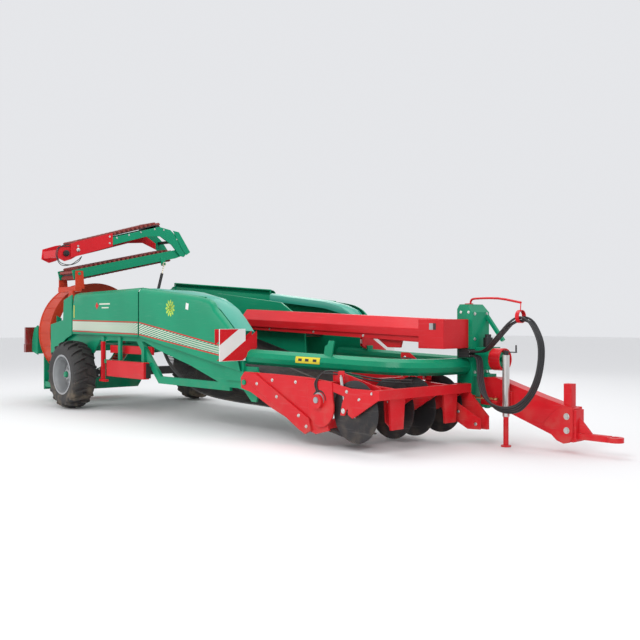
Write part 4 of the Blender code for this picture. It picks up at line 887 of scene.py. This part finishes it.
decals = {"sunk": 0.0035, "film": 0.0012, "lineWidth": 0.016, "lean": 0.42, "hatchWidth": (0.105, 0.062),
          "hatchGap": (0.012, 0.035), "emblem": (2.86, 1.695),
          "bandTop": [(-0.33, 1.50), (1.925, 1.47), (1.955, 1.468), (4.42, 1.115)],
          "bandLow": [(-0.33, 1.34), (1.925, 1.31), (1.955, 1.308), (4.46, 1.008)],
          "spans": (("right_rear", -0.33, 1.918), ("right_front", 1.962, 4.40)),
          "leafRings": ((0.045, 7, 0.062, 0.021, 0.1), (0.098, 11, 0.06, 0.018, 0.3))}


def makeDecals():
    face, film = -cover["wall"] + decals["sunk"], decals["film"]
    bandTop, bandLow = decals["bandTop"], decals["bandLow"]
    for name, start, end in decals["spans"]:
        tag = titled(name)
        lines = []
        for line, offset in ((bandTop, 0.006), (bandLow, -0.022)):
            outline = [(x, between(line, x) + rise) for x, rise in (
                (start, offset), (end, offset), (end, offset + decals["lineWidth"]),
                (start, offset + decals["lineWidth"]))]
            lines.append(sheetAcross("y", outline, face - film, face))
        keep("bandLines" + tag, join(lines), red, "cover_" + name)
        hatch, lean, x = [], decals["lean"], start - decals["lean"]
        while x < end:
            share = min(max((x + 0.75) / 3.2, 0), 1)
            width = decals["hatchWidth"][0] - decals["hatchWidth"][1] * share
            outline = [(x, between(bandLow, x)), (x + width, between(bandLow, x + width)),
                       (x + lean + width, between(bandTop, x + lean + width)),
                       (x + lean, between(bandTop, x + lean))]
            outline = clipped(clipped(outline, (1, 0), start), (-1, 0), -end)
            if len(outline) > 2:
                hatch.append(sheetAcross("y", outline, face - 0.0011, face - 0.0001))
            x += width + decals["hatchGap"][0] + decals["hatchGap"][1] * share
        keep("bandHatch" + tag, join(hatch), cream, "cover_" + name)
    leaves = []
    for away, count, length, wide, turn in decals["leafRings"]:
        for index in range(count):
            angle = turn + math.tau * index / count
            out = Vector((math.cos(angle), math.sin(angle)))
            across = Vector((-out.y, out.x))
            centre = Vector(decals["emblem"]) + out * away
            outline = []
            for step in range(12):
                t = math.tau * step / 12
                taper = 1.1 - 0.35 * math.cos(t)
                point = centre + out * math.cos(t) * length / 2 + across * math.sin(t) * wide * taper
                outline.append((point.x, point.y))
            leaves.append(sheetAcross("y", outline, face - film, face))
    keep("leafEmblem", join(leaves), leafFilm, "cover_right_front")
    plates = (("blankLabel", [(3.27, 1.68), (3.34, 1.665), (3.355, 1.755), (3.285, 1.77)], white,
               "board_white"),
              ("edgeReflector", [(-0.29, 1.56), (-0.265, 1.56), (-0.265, 1.78), (-0.29, 1.78)], yellow,
               "board_white"),
              ("badgeMark", [(0.52, 1.76), (0.57, 1.70), (0.63, 1.76), (0.57, 1.82)], red, "red_paint"),
              ("badgeBarUpper", [(0.66, 1.775), (1.02, 1.775), (1.02, 1.80), (0.66, 1.80)], cream,
               "board_white"),
              ("badgeBarLower", [(0.74, 1.715), (0.98, 1.715), (0.98, 1.735), (0.74, 1.735)], cream,
               "board_white"))
    for name, outline, material, slotName in plates:
        body = "cover_right_front" if name == "blankLabel" else "cover_right_rear"
        keep(name, sheetAcross("y", outline, face - film, face), material, body)


for coverName, coverSide in (("right_rear", -1), ("right_front", -1), ("left_rear", 1), ("left_front", 1)):
    makeCover(coverName, coverSide)
makeNose("Right", -1, [(2.40, 1.965), (3.19, 1.94), (3.85, 1.81), (4.19, 1.63), (4.47, 1.36)],
         [(1.99, 2.012), (3.66, 1.836), (4.00, 1.655), (4.40, 1.34)])
makeNose("Left", 1, [(2.90, 1.93), (4.20, 1.80), (4.66, 1.70), (4.90, 1.50)],
         [(2.76, 1.945), (4.24, 1.79), (4.70, 1.70), (4.92, 1.50)])
makeDecals()
print("covers ready")


# webs, rollers' rods and the picking belt
web = {"roller": 0.0623, "thick": 0.034, "right": -0.97, "left": 0.39, "pitch": 0.028, "bar": 0.0115,
       "belt": 0.012,
       "beltWidth": 0.055,
       "mainFront": (6.05, 0.45), "mainRear": (2.45, 1.28), "rearFront": (2.10, 1.45),
       "rearRear": (-1.00, 1.32),
       "tableFront": (3.90, 1.36), "tableRear": (-0.90, 1.34),
       "sag": [(2.38, 1.10), (2.62, 0.82), (3.05, 0.58), (3.55, 0.44), (4.20, 0.39), (4.90, 0.375),
               (5.50, 0.36)]}


def turnRound(centre, radius, start, end, count):
    return [(centre[0] + math.cos(math.radians(start + (end - start) * i / count)) * radius,
             centre[1] + math.sin(math.radians(start + (end - start) * i / count)) * radius)
            for i in range(count + 1)]


def loopPath(front, rear, radius, sag=(), depth=0.0):
    # (x, z) round both rollers, with the slack return run where there is one
    slope = math.degrees(math.atan2(rear[1] - front[1], front[0] - rear[0]))
    points = turnRound(front, radius, -90 - slope, 90 - slope, 12)
    points += turnRound(rear, radius, 90 - slope, (202.5 if sag else 270) - slope, 10)
    if sag:
        slack = smoothLine([(x, 0, z + depth) for x, z in sag], 5)
        points += [(p.x, p.z) for p in slack]
    return points


def spacedLoop(points, count):
    # the same loop as evenly spaced points
    closed = [Vector(p) for p in points] + [Vector(points[0])]
    lengths = [0.0]
    for a, b in zip(closed, closed[1:]):
        lengths.append(lengths[-1] + (b - a).length)
    result, index = [], 0
    for step in range(count):
        target = lengths[-1] * step / count
        while lengths[index + 1] < target:
            index += 1
        share = (target - lengths[index]) / max(lengths[index + 1] - lengths[index], 1e-9)
        result.append(tuple(closed[index].lerp(closed[index + 1], share)))
    return result


def bandOn(points, low, high, thick, across="y"):
    # a closed flat belt that follows a loop
    count = len(points)
    rings = []
    for index, (u, z) in enumerate(points):
        before, after = Vector(points[index - 1]), Vector(points[(index + 1) % count])
        along = (after - before).normalized()
        out = Vector((along.y, -along.x)) * thick / 2
        ring = []
        for side, edge in ((1, low), (1, high), (-1, high), (-1, low)):
            a, b = u + out.x * side, z + out.y * side
            ring.append(spot(a, edge, b) if across == "y" else spot(edge, a, b))
        rings.append(ring)
    return skin(rings, capped=False, looped=True)


def makeWeb(name, node, front, rear, sag=()):
    middle = web["roller"] + web["thick"] / 2
    path = loopPath(front, rear, middle, sag, web["thick"] / 2)
    length = sum((Vector(b) - Vector(a)).length for a, b in zip(path, path[1:] + path[:1]))
    even = spacedLoop(path, 150)
    centre = (web["right"] + web["left"]) / 2
    belts = [bandOn(even, low, low + web["beltWidth"], web["belt"])
             for low in (web["right"] + 0.002, centre - 0.028, web["left"] - 0.057)]
    keep(name + "Belts", join(belts), beltRubber, "chassis", (node,))
    grow(name + "Bars", lineMesh([(x, centre, z) for x, z in even]), crossBars,
         {"Count": int(length / web["pitch"]), "Width": web["left"] - web["right"] - 0.01,
          "Thick": web["bar"] * 1.25, "Sides": 8, "Material": webSteel}, "chassis")


def makeTableBelt():
    middle = web["roller"] + web["thick"] / 2
    even = spacedLoop(loopPath(web["tableFront"], web["tableRear"], middle), 170)
    keep("tableBelt", bandOn(even, 0.475, 0.978, 0.016), beltRubber, "chassis",
         ("picking_table_belt",))
    grow("tableSlats", lineMesh([(x, 0.7265, z) for x, z in even]), crossBars,
         {"Count": 62, "Width": 0.50, "Thick": 0.022, "Tall": 0.030, "Round": False,
          "Material": flightRubber},
         "chassis")


makeWeb("mainWeb", "main_web", web["mainFront"], web["mainRear"], web["sag"])
makeWeb("rearWeb", "rear_web", web["rearFront"], web["rearRear"])
makeTableBelt()
print("webs ready")


# frame, tower, drawbar and digging unit: the frame's own shapes with softened edges
paintWork = {
    "chassis": {"emerald_paint": "chassis_frame rear_panel_right rear_panel_left ring_cradle "
                                 "rear_light_bar front_tower pto_gearbox",
                "dark_steel": "axle_beam", "red_paint": "gearbox_guard tool_box hose_arm",
                "silver_paint": "hydraulic_motor", "orange_red_paint": "elevator_base"},
    "digger": {"red_paint": "digger_frame", "dark_steel": "share_blades"},
    "drawbar": {"red_paint": "drawbar hitch_eye", "silver_paint": "jack_tube", "dark_steel": "jack_crank"},
    "jack_leg": {"red_paint": "jack_leg"}, "steering_barrel": {"red_paint": "steering_barrel"},
    "steering_rod": {"chrome_rod": "steering_rod"}, "lift_barrel": {"dark_steel": "lift_barrel"},
    "lift_rod": {"chrome_rod": "lift_rod"}, "elevator_lower": {"emerald_paint": "elevator_lower"},
    "elevator_upper": {"red_paint": "elevator_head"}}
slotFinish = {"emerald_paint": green, "red_paint": red, "dark_steel": darkSteel, "silver_paint": zinc,
              "orange_red_paint": orange, "chrome_rod": chrome}
ownFinish = {"hydraulic_motor": darkSteel, "steering_rod": brass}
for body, slots in paintWork.items():
    for slotName, nodes in slots.items():
        for node in nodes.split():
            softened(node, ownFinish.get(node, slotFinish[slotName]), body,
                     width=0.003 if node == "chassis_frame" else 0.004)
print("painted parts ready")


# top beam: a box with its upper corner cut back, its end box and bracket
beam = {"y0": 0.1697, "y1": 0.4197, "rear": (2.90, 1.43, 1.69), "front": (6.96, 1.30, 1.53), "cut": 0.13,
        "share": 0.42}


def makeTopBeam():
    rows = []
    for x, z0, z1 in (beam["rear"], beam["front"]):
        knee = z0 + (z1 - z0) * beam["share"]
        rows.append([spot(x, beam["y0"], z0), spot(x, beam["y0"], knee),
                     spot(x, beam["y0"] + beam["cut"], z1),
                     spot(x, beam["y1"], z1), spot(x, beam["y1"], z0)])
    lip = sheetAcross("y", [(2.94, 1.38), (2.92, 1.45), (6.62, 1.31), (6.62, 1.24)], 0.20, 0.4187)
    endBox = block((6.60, 7.00), (beam["y0"] - 0.001, 0.6697), (1.165, 1.53))
    bracket = sheetAcross("y", [(5.65, 1.36), (6.25, 1.33), (6.20, 1.16), (5.98, 1.16)], 0.27, 0.31)
    keep("topBeam", join([skin(rows), lip, endBox, bracket]), red, "chassis", ("top_beam",),
         width=0.005)
    bolts("beamBolts", [(x, 0.20, z) for x, z in ((3.60, 1.385), (4.60, 1.350), (5.60, 1.310))], (0, -1, 0),
          "chassis",
          radius=0.013)


makeTopBeam()
softened("right_side_tube", green, "chassis", width=0.003)
softened("left_side_tube", green, "chassis", width=0.003)
for lamp in ("right", "left"):
    softened("rear_lamp_" + lamp, lampRed, "chassis", width=0.006)


# ring elevator: a channel with ribs, pockets inside
ring = {"x0": -1.75, "x1": -1.27, "y": -0.15, "z": 1.28, "radius": 0.95, "ribs": 24, "pockets": 12}


def makeRing():
    x0, x1, radius = ring["x0"], ring["x1"], ring["radius"]
    centre = (0, ring["y"], ring["z"])
    drum = [(x0, radius), (x0 + 0.03, radius), (x0 + 0.034, radius - 0.012), (x1 - 0.034, radius - 0.012),
            (x1 - 0.03, radius), (x1, radius), (x1, radius - 0.16), (x1 - 0.02, radius - 0.16),
            (x1 - 0.024, radius - 0.034), (x0 + 0.024, radius - 0.034), (x0 + 0.02, radius - 0.16),
            (x0, radius - 0.16)]
    keep("ringDrum", spun("x", centre, drum, 96), orange, "ring", ("ring_elevator",),
         smoothAngle=30, width=0.002)
    middle = tuple(spot(*centre))
    rib = block((x0 + 0.03, x1 - 0.03), (ring["y"] - 0.008, ring["y"] + 0.008),
                (ring["z"] + radius - 0.014, ring["z"] + radius - 0.003))
    grow("ringRibs", meshData(rib), spinCopies, {"Count": ring["ribs"], "Axis": (1, 0, 0), "Centre": middle,
                                                "Material": orange}, "ring")
    pocket = block((x0 + 0.024, x1 - 0.024), (ring["y"] - 0.007, ring["y"] + 0.007),
                   (ring["z"] + radius - 0.155, ring["z"] + radius - 0.03))
    grow("ringPockets", meshData(pocket), spinCopies,
         {"Count": ring["pockets"], "Axis": (1, 0, 0), "Centre": middle, "Phase": math.pi / 12,
          "Material": flightRubber}, "ring")
    slot = roundBar((x0 + 0.02, ring["y"], ring["z"] + radius - 0.16),
                    (x1 - 0.02, ring["y"], ring["z"] + radius - 0.16),
                    0.007, 8)
    grow("ringBars", meshData(slot), spinCopies,
         {"Count": 72, "Axis": (1, 0, 0), "Centre": middle, "Material": webSteel}, "ring")


makeRing()
print("ring ready")


# elevator: two belts with flights, their rollers and fittings
elevator = {"x0": -1.02, "x1": -0.42, "lowerPivot": (-0.95, 2.35), "fold": (1.22, 2.84),
            "upper": ((-0.92, 2.832), (0.68, 3.292)),
            "roller": 0.0503, "belt": 0.014, "flight": 0.060, "thick": 0.042,
            "arm": [(-1.00, 2.850), (0.70, 3.312), (0.95, 3.270), (1.16, 3.10), (1.34, 2.86), (1.26, 2.76),
                    (1.16, 2.78),
                    (0.98, 2.98), (0.72, 3.13), (0.40, 3.10), (-0.30, 2.895), (-1.00, 2.70)]}


def stadium(first, second, radius, steps=10):
    lean = math.degrees(math.atan2(second[1] - first[1], second[0] - first[0]))
    return (turnRound(second, radius, lean - 90, lean + 90, steps)
            + turnRound(first, radius, lean + 90, lean + 270, steps))


def makeElevatorBelt(name, node, body, first, second, inset, flights):
    reach = elevator["roller"] + elevator["belt"] / 2
    low, high = elevator["x0"] + inset, elevator["x1"] - inset
    even = spacedLoop(stadium(first, second, reach), 96)
    keep(name, bandOn(even, low, high, elevator["belt"], "x"), beltRubber, body, (node,))
    outer = spacedLoop(stadium(first, second, reach + elevator["flight"] / 2 - 0.002), 120)
    grow(name + "Flights", lineMesh([((low + high) / 2, y, z) for y, z in outer]), crossBars,
         {"Count": flights, "Width": high - low - 0.03, "Thick": elevator["thick"],
          "Tall": elevator["flight"], "Round": False,
          "Across X": True, "Material": flightRubber}, body)


def alongLower(distance, offset):
    (y0, z0), (y1, z1) = elevator["lowerPivot"], elevator["fold"]
    way = Vector((y1 - y0, z1 - z0)).normalized()
    return (y0 + way.x * distance - way.y * offset, z0 + way.y * distance + way.x * offset)


def makeElevator():
    makeElevatorBelt("lowerBelt", "elevator_lower_belt", "elevator_lower", alongLower(0.02, 0),
                     alongLower(1.95, 0),
                     0.035, 46)
    makeElevatorBelt("upperBelt", "elevator_upper_belt", "elevator_upper", *elevator["upper"], 0.02, 40)
    face = elevator["x1"] + 0.030
    x0, x1 = elevator["x0"], elevator["x1"]
    plates = [sheetAcross("x", elevator["arm"], x0 - 0.030, x0 - 0.006),
              sheetAcross("x", elevator["arm"], x1 + 0.006, x1 + 0.030)]
    shafts = [roundBar((x0 - 0.02, y, z), (x1 + 0.02, y, z), radius, 24)
              for y, z, radius in ((-0.92, 2.832, 0.050), (0.68, 3.292, 0.050), (1.08, 3.06, 0.03),
                                   (1.22, 2.84, 0.028))]
    keep("upperArms", join(plates), green, "elevator_upper", ("elevator_upper",),
         width=0.004)
    keep("upperShafts", join(shafts), darkSteel, "elevator_upper")
    bolts("armBolts", [(face, y, z) for y, z in ((0.80, 3.26), (0.60, 3.26), (0.30, 3.18), (0.05, 3.11),
                                                 (-0.20, 3.04),
                                                (1.10, 3.10), (1.25, 2.92))], (1, 0, 0), "elevator_upper",
          radius=0.013)
    bolts("headBolts", [(face + 0.0255, y, z) for y, z in ((-0.98, 2.84), (-0.36, 3.05), (-0.36, 2.93))],
          (1, 0, 0),
          "elevator_upper", radius=0.014)
    cap = spun("x", (face + 0.0252, -0.98, 2.77), [(0, 0.036), (0.012, 0.034), (0.02, 0.022), (0.02, 0.0005),
                                                  (0, 0.0005)], 32)
    keep("headCap", cap, zinc, "elevator_upper")
    upperSkirt = [(-0.95, 2.80), (-0.30, 2.985), (0.72, 3.22), (1.00, 3.05), (1.00, 2.93), (0.70, 3.045),
                  (0.38, 3.02),
                  (-0.30, 2.82), (-0.95, 2.64)]
    lowerSkirt = [alongLower(a, b) for a, b in ((0.05, -0.02), (1.92, -0.02), (1.92, 0.118), (0.05, 0.118))]
    keep("upperSkirt", sheetAcross("x", upperSkirt, x0 - 0.004, x0 + 0.004), red, "elevator_upper",
         width=0.002)
    keep("lowerSkirt", sheetAcross("x", lowerSkirt, x0 + 0.026, x0 + 0.032), red, "elevator_lower",
         width=0.002)
    guard = [(1.00, 3.26), (1.14, 3.24), (1.40, 2.86), (1.31, 2.80), (1.22, 2.90)]
    keep("foldGuard", sheetAcross("x", guard, elevator["x1"] + 0.032, elevator["x1"] + 0.040), green,
         "elevator_upper",
         width=0.002)
    for index, (reach, drop) in enumerate(((0.0, 0.0), (0.02, 0.035))):
        route = [(-0.41, -1.02, 2.83), (-0.385, -1.16, 2.86 - drop), (-0.375, -1.32 - reach, 2.80),
                                     (-0.375, -1.37 - reach, 2.66), (-0.38, -1.30, 2.53 - drop),
                 (-0.385, -1.12, 2.50),
                                     (-0.39, -0.97, 2.56 + drop), (-0.385, -0.90, 2.66)]
        pipe(f"headPipe{index + 1}", route, 0.007, "elevator_upper")
    motor = spun("x", (elevator["x1"] + 0.031, -1.20, 2.70),
                 [(0, 0.055), (0.03, 0.055), (0.034, 0.045), (0.06, 0.045),
                                                             (0.064, 0.03), (0.064, 0.0005), (0, 0.0005)], 32)
    keep("headMotor", motor, darkSteel, "elevator_upper")


makeElevator()
print("elevator ready")


# warning boards: white plates with slanting red bands on both faces
board = {"bands": ((0.5, 1.0), (-0.6, -0.05)), "film": 0.0012, "rim": 0.004}


def clipBand(low, high):
    # the part of the unit square where low <= v - u <= high
    square = [(0, 0), (1, 0), (1, 1), (0, 1)]
    return clipped(clipped(square, (-1, 1), low), (1, -1), -high)


def makeBoards():
    rim = board["rim"]
    for sideName, side in (("right", -1), ("left", 1)):
        node = "warning_board_" + sideName
        softened(node, white, "chassis", width=0.002)
        low, high = (Vector(corner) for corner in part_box(node))
        bands = []
        for faceX, out in ((high.x, 1), (low.x, -1)):
            for bandLow, bandHigh in board["bands"]:
                outline = []
                for u, v in clipBand(bandLow, bandHigh):
                    across = u if side < 0 else 1 - u
                    outline.append((low.y + rim + across * (high.y - low.y - 2 * rim),
                                    low.z + rim + v * (high.z - low.z - 2 * rim)))
                start, end = sorted((faceX - axleX, faceX - axleX + out * board["film"]))
                bands.append(sheetAcross("x", outline, start, end))
        keep("boardBands" + sideName.title(), join(bands), red, "chassis")


makeBoards()
print("boards ready")


# digging unit
digger = {"side": -1.13, "discs": {"outer_right": -1.09, "inner_right": -0.49, "inner_left": -0.10,
                                   "outer_left": 0.40},
          "discX": 6.75, "discZ": 0.47}


def makeDiscs():
    for name, y in digger["discs"].items():
        low, high = (Vector(corner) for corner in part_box("disc_" + name))
        centreY = (low.y + high.y) / 2
        half = (high.y - low.y) / 2
        radius = (high.z - low.z) / 2
        blade = min(half, 0.006)
        profile = [(-half, 0.0005), (-half, 0.045), (-blade, 0.052), (-blade, radius - 0.02),
                   (-0.001, radius),
                   (0.001, radius), (blade, radius - 0.02), (blade, 0.052), (half, 0.045), (half, 0.0005)]
        body = "disc_" + name
        centre = (digger["discX"], centreY, digger["discZ"])
        keep("disc" + titled(name), spun("y", centre, profile, 72), darkSteel, body,
             (body,), smoothAngle=25)
        out = -1 if y < 0 else 1
        nut = roundBar((digger["discX"], centreY + out * blade, digger["discZ"] + 0.062),
                       (digger["discX"], centreY + out * (blade + 0.006), digger["discZ"] + 0.062), 0.008, 6)
        grow("discNuts" + titled(name), meshData(nut), spinCopies,
             {"Count": 6, "Centre": tuple(spot(*centre)), "Material": zinc}, body)


diggerPlates = {
    # outline, then where the plate starts and ends across the machine
    "sideArm": ([(4.84, 0.82), (4.97, 0.83), (6.02, 0.34), (6.06, 0.20), (5.95, 0.145), (5.82, 0.20),
                 (4.80, 0.74)],
                -1.158, -1.1305),
    "motorGuard": ([(5.98, 0.80), (6.42, 0.80), *turnRound((6.20, 0.50), 0.25, 20, -95, 8), (6.02, 0.36)],
                   -1.152, -1.1305),
    "rodLug": ([(6.50, 0.93), (6.57, 0.93), (6.57, 0.80), (6.50, 0.80)], -1.098, -1.086),
    "discClaw": ([(6.34, 0.80), (6.72, 0.74), (7.10, 0.74), (7.12, 0.66), (6.86, 0.60), (6.80, 0.42),
                  (6.74, 0.40),
                  (6.72, 0.48), (6.66, 0.50), (6.62, 0.42), (6.55, 0.42), (6.58, 0.56), (6.62, 0.64),
                  (6.36, 0.70)],
                 -1.142, -1.124),
    "guidePlate": ([(6.74, 0.60), (6.82, 0.70), (7.06, 0.52), (7.43, 0.335), (7.43, 0.21), (7.24, 0.20),
                    (6.86, 0.38)],
                   0.335, 0.350),
    "discBrace": ([(6.30, 0.90), (6.40, 0.92), (7.06, 0.76), (7.10, 0.70), (7.06, 0.655), (6.96, 0.69),
                   (6.30, 0.80)],
                  -1.02, -1.005),
    "backPlate": ([(6.19, 0.76), (6.70, 0.76), (6.70, 0.90), (6.46, 1.02), (6.34, 1.10), (6.19, 1.10)], 0.300,
                  0.312)}


def makeDiggerDetails():
    side = digger["side"]
    for name, (outline, start, end) in diggerPlates.items():
        keep(name, sheetAcross("y", outline, start, end), red, "digger",
             width=0.002 if name == "rodLug" else 0.003)
    plug = spun("y", (6.20, side - 0.0225, 0.575), [(0, 0.088), (-0.008, 0.088), (-0.010, 0.070),
                                                    (-0.036, 0.066),
                                                   (-0.040, 0.040), (-0.060, 0.036), (-0.060, 0.0005),
                                                   (0, 0.0005)], 40)
    keep("sideMotor", plug, silver, "digger")
    # a thin dark crescent on the guard plate round the motor: painted shade
    crescent = [(6.205 + math.cos(a) * 0.118, 0.575 + math.sin(a) * 0.118)
                for a in [math.tau * i / 30 for i in range(18)]]
    crescent += [(6.218 + math.cos(a) * 0.094, 0.575 + math.sin(a) * 0.094)
                 for a in [math.tau * i / 30 for i in range(17, -1, -1)]]
    keep("motorPaintedShade", sheetAcross("y", crescent, side - 0.0232, side - 0.0221), darkSteel, "digger")
    rodTop, rodLow = (6.53, side + 0.02, 0.88), (6.60, side + 0.02, 0.50)
    keep("depthRod", join([roundBar(rodTop, rodLow, 0.012, 16), roundBar((6.60, side + 0.045, 0.475),
         (6.60, side - 0.015, 0.475), 0.030, 24),
                           roundBar((6.535, side + 0.02, 0.86), (6.56, side + 0.02, 0.72), 0.018, 6)]),
         zinc, "digger")
    posts = [roundBar((x, 0.27, 0.78), (x + 0.02, 0.27, 1.00), 0.011, 12) for x in (6.24, 6.36, 6.48, 6.60)]
    keep("backPosts", join(posts), zinc, "digger")
    for index, lift in enumerate((0.0, 0.028)):
        route = [(6.20, 0.26, 0.97 + lift), (6.24, 0.25, 0.995 + lift), (6.30, 0.25, 1.005 + lift),
                                     (6.40, 0.245, 1.00 + lift), (6.62, 0.22, 0.96 + lift),
                 (6.70, 0.20, 0.80 + lift)]
        pipe(f"backPipe{index + 1}", route, 0.009, "digger")
    bolts("backBolts", [(x, 0.300, z) for x, z in ((6.26, 1.04), (6.26, 0.83), (6.62, 0.83))], (0, -1, 0),
          "digger", radius=0.014)
    bolts("guideBolts", [(x, 0.335, z) for x, z in ((6.83, 0.60), (7.10, 0.40), (7.36, 0.27))], (0, -1, 0),
          "digger",
          radius=0.016)
    shield = sheetAcross("x", [(-0.88, 0.64), (-0.62, 0.64), (-0.58, 0.50), (-0.62, 0.30), (-0.74, 0.25),
                               (-0.86, 0.36)],
                         6.985, 7.005)
    keep("discShield", shield, red, "digger", width=0.004)
    spots = [(5.02, 0.70), (5.42, 0.56), (5.84, 0.36), (5.98, 0.24), (5.30, 0.76), (5.75, 0.76)]
    bolts("sideBolts", [(x, side - 0.028, z) for x, z in spots[:4]] + [(x, side, z) for x, z in spots[4:]],
          (0, -1, 0), "digger", radius=0.016, height=0.012)
    bolts("clawBolts", [(x, side - 0.012, z) for x, z in ((6.86, 0.62), (7.06, 0.70), (6.66, 0.70),
                                                          (6.60, 0.475))],
          (0, -1, 0), "digger", radius=0.015, height=0.012)
    bolts("shieldBolts", [(7.005, y, z) for y, z in ((-0.82, 0.59), (-0.66, 0.59), (-0.66, 0.36))], (1, 0, 0),
          "digger",
          radius=0.014)
    for index, shift in enumerate((0.0, 0.03)):
        route = [(6.16 + shift, side - 0.02, 0.66), (6.14 + shift, side - 0.03, 0.78),
                                     (6.22 + shift, side + 0.03, 0.88 + shift),
                 (6.45, side + 0.16, 0.87 + shift),
                                     (6.75, side + 0.42, 0.80 + shift), (6.98, side + 0.75, 0.78 + shift)]
        pipe(f"motorPipe{index + 1}", route, 0.009, "digger")


makeDiscs()
makeDiggerDetails()
print("digging unit ready")


# tower, drawbar and small fittings
def tubeSticker(name, start, end, radius, low, high, material, body="chassis"):
    # a thin patch wrapped on a tube, between two angles measured up from its outer side
    first, last = spot(*start), spot(*end)
    way = (last - first).normalized()
    out = way.cross(Vector((0, 0, 1))).normalized()
    up = out.cross(way).normalized()
    rows = []
    for share in (0.0, 0.5, 1.0):
        centre = first.lerp(last, share)
        angles = [math.radians(low + (high - low) * i / 8) for i in range(9)]
        rows.append([centre + (out * math.cos(a) + up * math.sin(a)) * radius for a in angles])
    keep(name, sheet(rows, 0.001), material, body)


def makeFittings():
    tubeSticker("tubeSignLong", (5.36, -0.726, 0.998), (5.70, -0.615, 0.985), 0.1068, -14, 32, yellow)
    tubeSticker("tubeSignShort", (6.60, -0.300, 0.950), (6.70, -0.228, 0.946), 0.1068, -10, 30, yellow)
    marks = [(5.36 + 0.34 * share, -0.726 + 0.111 * share, 0.998 - 0.013 * share) for share in (0.12, 0.40,
                                                                                                0.72)]
    for index, (x, y, z) in enumerate(marks):
        tubeSticker(f"tubeMark{index + 1}", (x, y, z), (x + 0.05, y + 0.0163, z - 0.002), 0.108, 0, 18,
                    blackPlastic)
    bolts("towerBolts",
          [(7.06, y, z) for y, z in ((0.72, 1.60), (0.97, 1.60), (0.72, 0.86), (0.97, 0.86), (0.72, 1.28),
                                                  (0.97, 1.28))], (1, 0, 0), "chassis", radius=0.016,
          height=0.012)
    bolts("towerSideBolts", [(x, 0.67, z) for x, z in ((6.88, 1.62), (7.0, 1.62), (6.88, 1.42))], (0, -1, 0),
          "chassis", radius=0.014)
    bolts("hitchBolts", [(x, y, z) for x, y, z in ((8.37, 0.686, 0.42), (8.37, 0.686, 0.26))], (0, -1, 0),
          "drawbar",
          radius=0.028, height=0.016)
    ears = [(8.05, 0.30), (8.20, 0.46), (8.30, 0.525), (8.447, 0.525), (8.447, 0.20), (8.41, 0.125),
            (8.33, 0.105),
            (8.24, 0.135)]
    keep("hitchEars", join([sheetAcross("y", ears, 0.686, 0.6995), sheetAcross("y", ears, 0.8805, 0.894)]),
         red,
         "drawbar", width=0.003)
    bolts("hubBolts", [(0.72, -1.135, z) for z in (0.60, 0.70)], (0, -1, 0), "chassis", radius=0.014)


def makeSmallParts():
    post = join([block((0.69, 0.75), (-1.09, -1.035), (0.50, 1.16)),
                 block((0.64, 0.86), (-1.095, -1.035), (0.49, 0.53)),
                 block((0.80, 2.14), (-0.975, -0.935), (0.97, 1.10))])
    keep("redPost", post, red, "chassis", width=0.004)
    boxFace = -1.1305
    keep("boxCap", block((2.201, 2.215), (boxFace + 0.008, boxFace + 0.092), (0.615, 0.845)), blackPlastic,
         "chassis",
         width=0.004)
    keep("boxLamp", spun("y", (2.10, boxFace, 0.635), [(0, 0.018), (-0.010, 0.018), (-0.016, 0.012),
                                                       (-0.016, 0.0005),
                                                      (0, 0.0005)], 24), amber, "chassis")
    seams = [sheetAcross("y", [(x, 0.61), (x + 0.008, 0.61), (x + 0.008, 0.85), (x, 0.85)], boxFace - 0.0015,
                         boxFace)
             for x in (1.30, 1.86)]
    keep("boxStraps", join(seams), darkSteel, "chassis")
    bolts("boxBolts", [(x, boxFace, z) for x in (1.06, 2.16) for z in (0.63, 0.83)][:3], (0, -1, 0),
          "chassis",
          radius=0.011)
    beamFace = 0.1683
    keep("beamPlate", sheetAcross("y", [(6.78, 1.40), (6.84, 1.40), (6.84, 1.48), (6.78, 1.48)],
                                  beamFace - 0.002,
                                  beamFace), silver, "chassis")
    keep("beamPlateDark", sheetAcross("y", [(6.843, 1.40), (6.885, 1.40), (6.885, 1.48), (6.843, 1.48)],
                                      beamFace - 0.002, beamFace), blackPlastic, "chassis")
    for sideName in ("right", "left"):
        low, high = (Vector(corner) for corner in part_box("rear_lamp_" + sideName))
        middle = (low.y + high.y) / 2
        backX = low.x - axleX
        keep("indicator" + sideName.title(), spun("x", (backX, middle, high.z - 0.06),
             [(0.002, 0.035), (0.0002, 0.035), (0.0002, 0.0005), (0.002, 0.0005)], 32), amber, "chassis")


makeFittings()
makeSmallParts()
print("fittings ready")
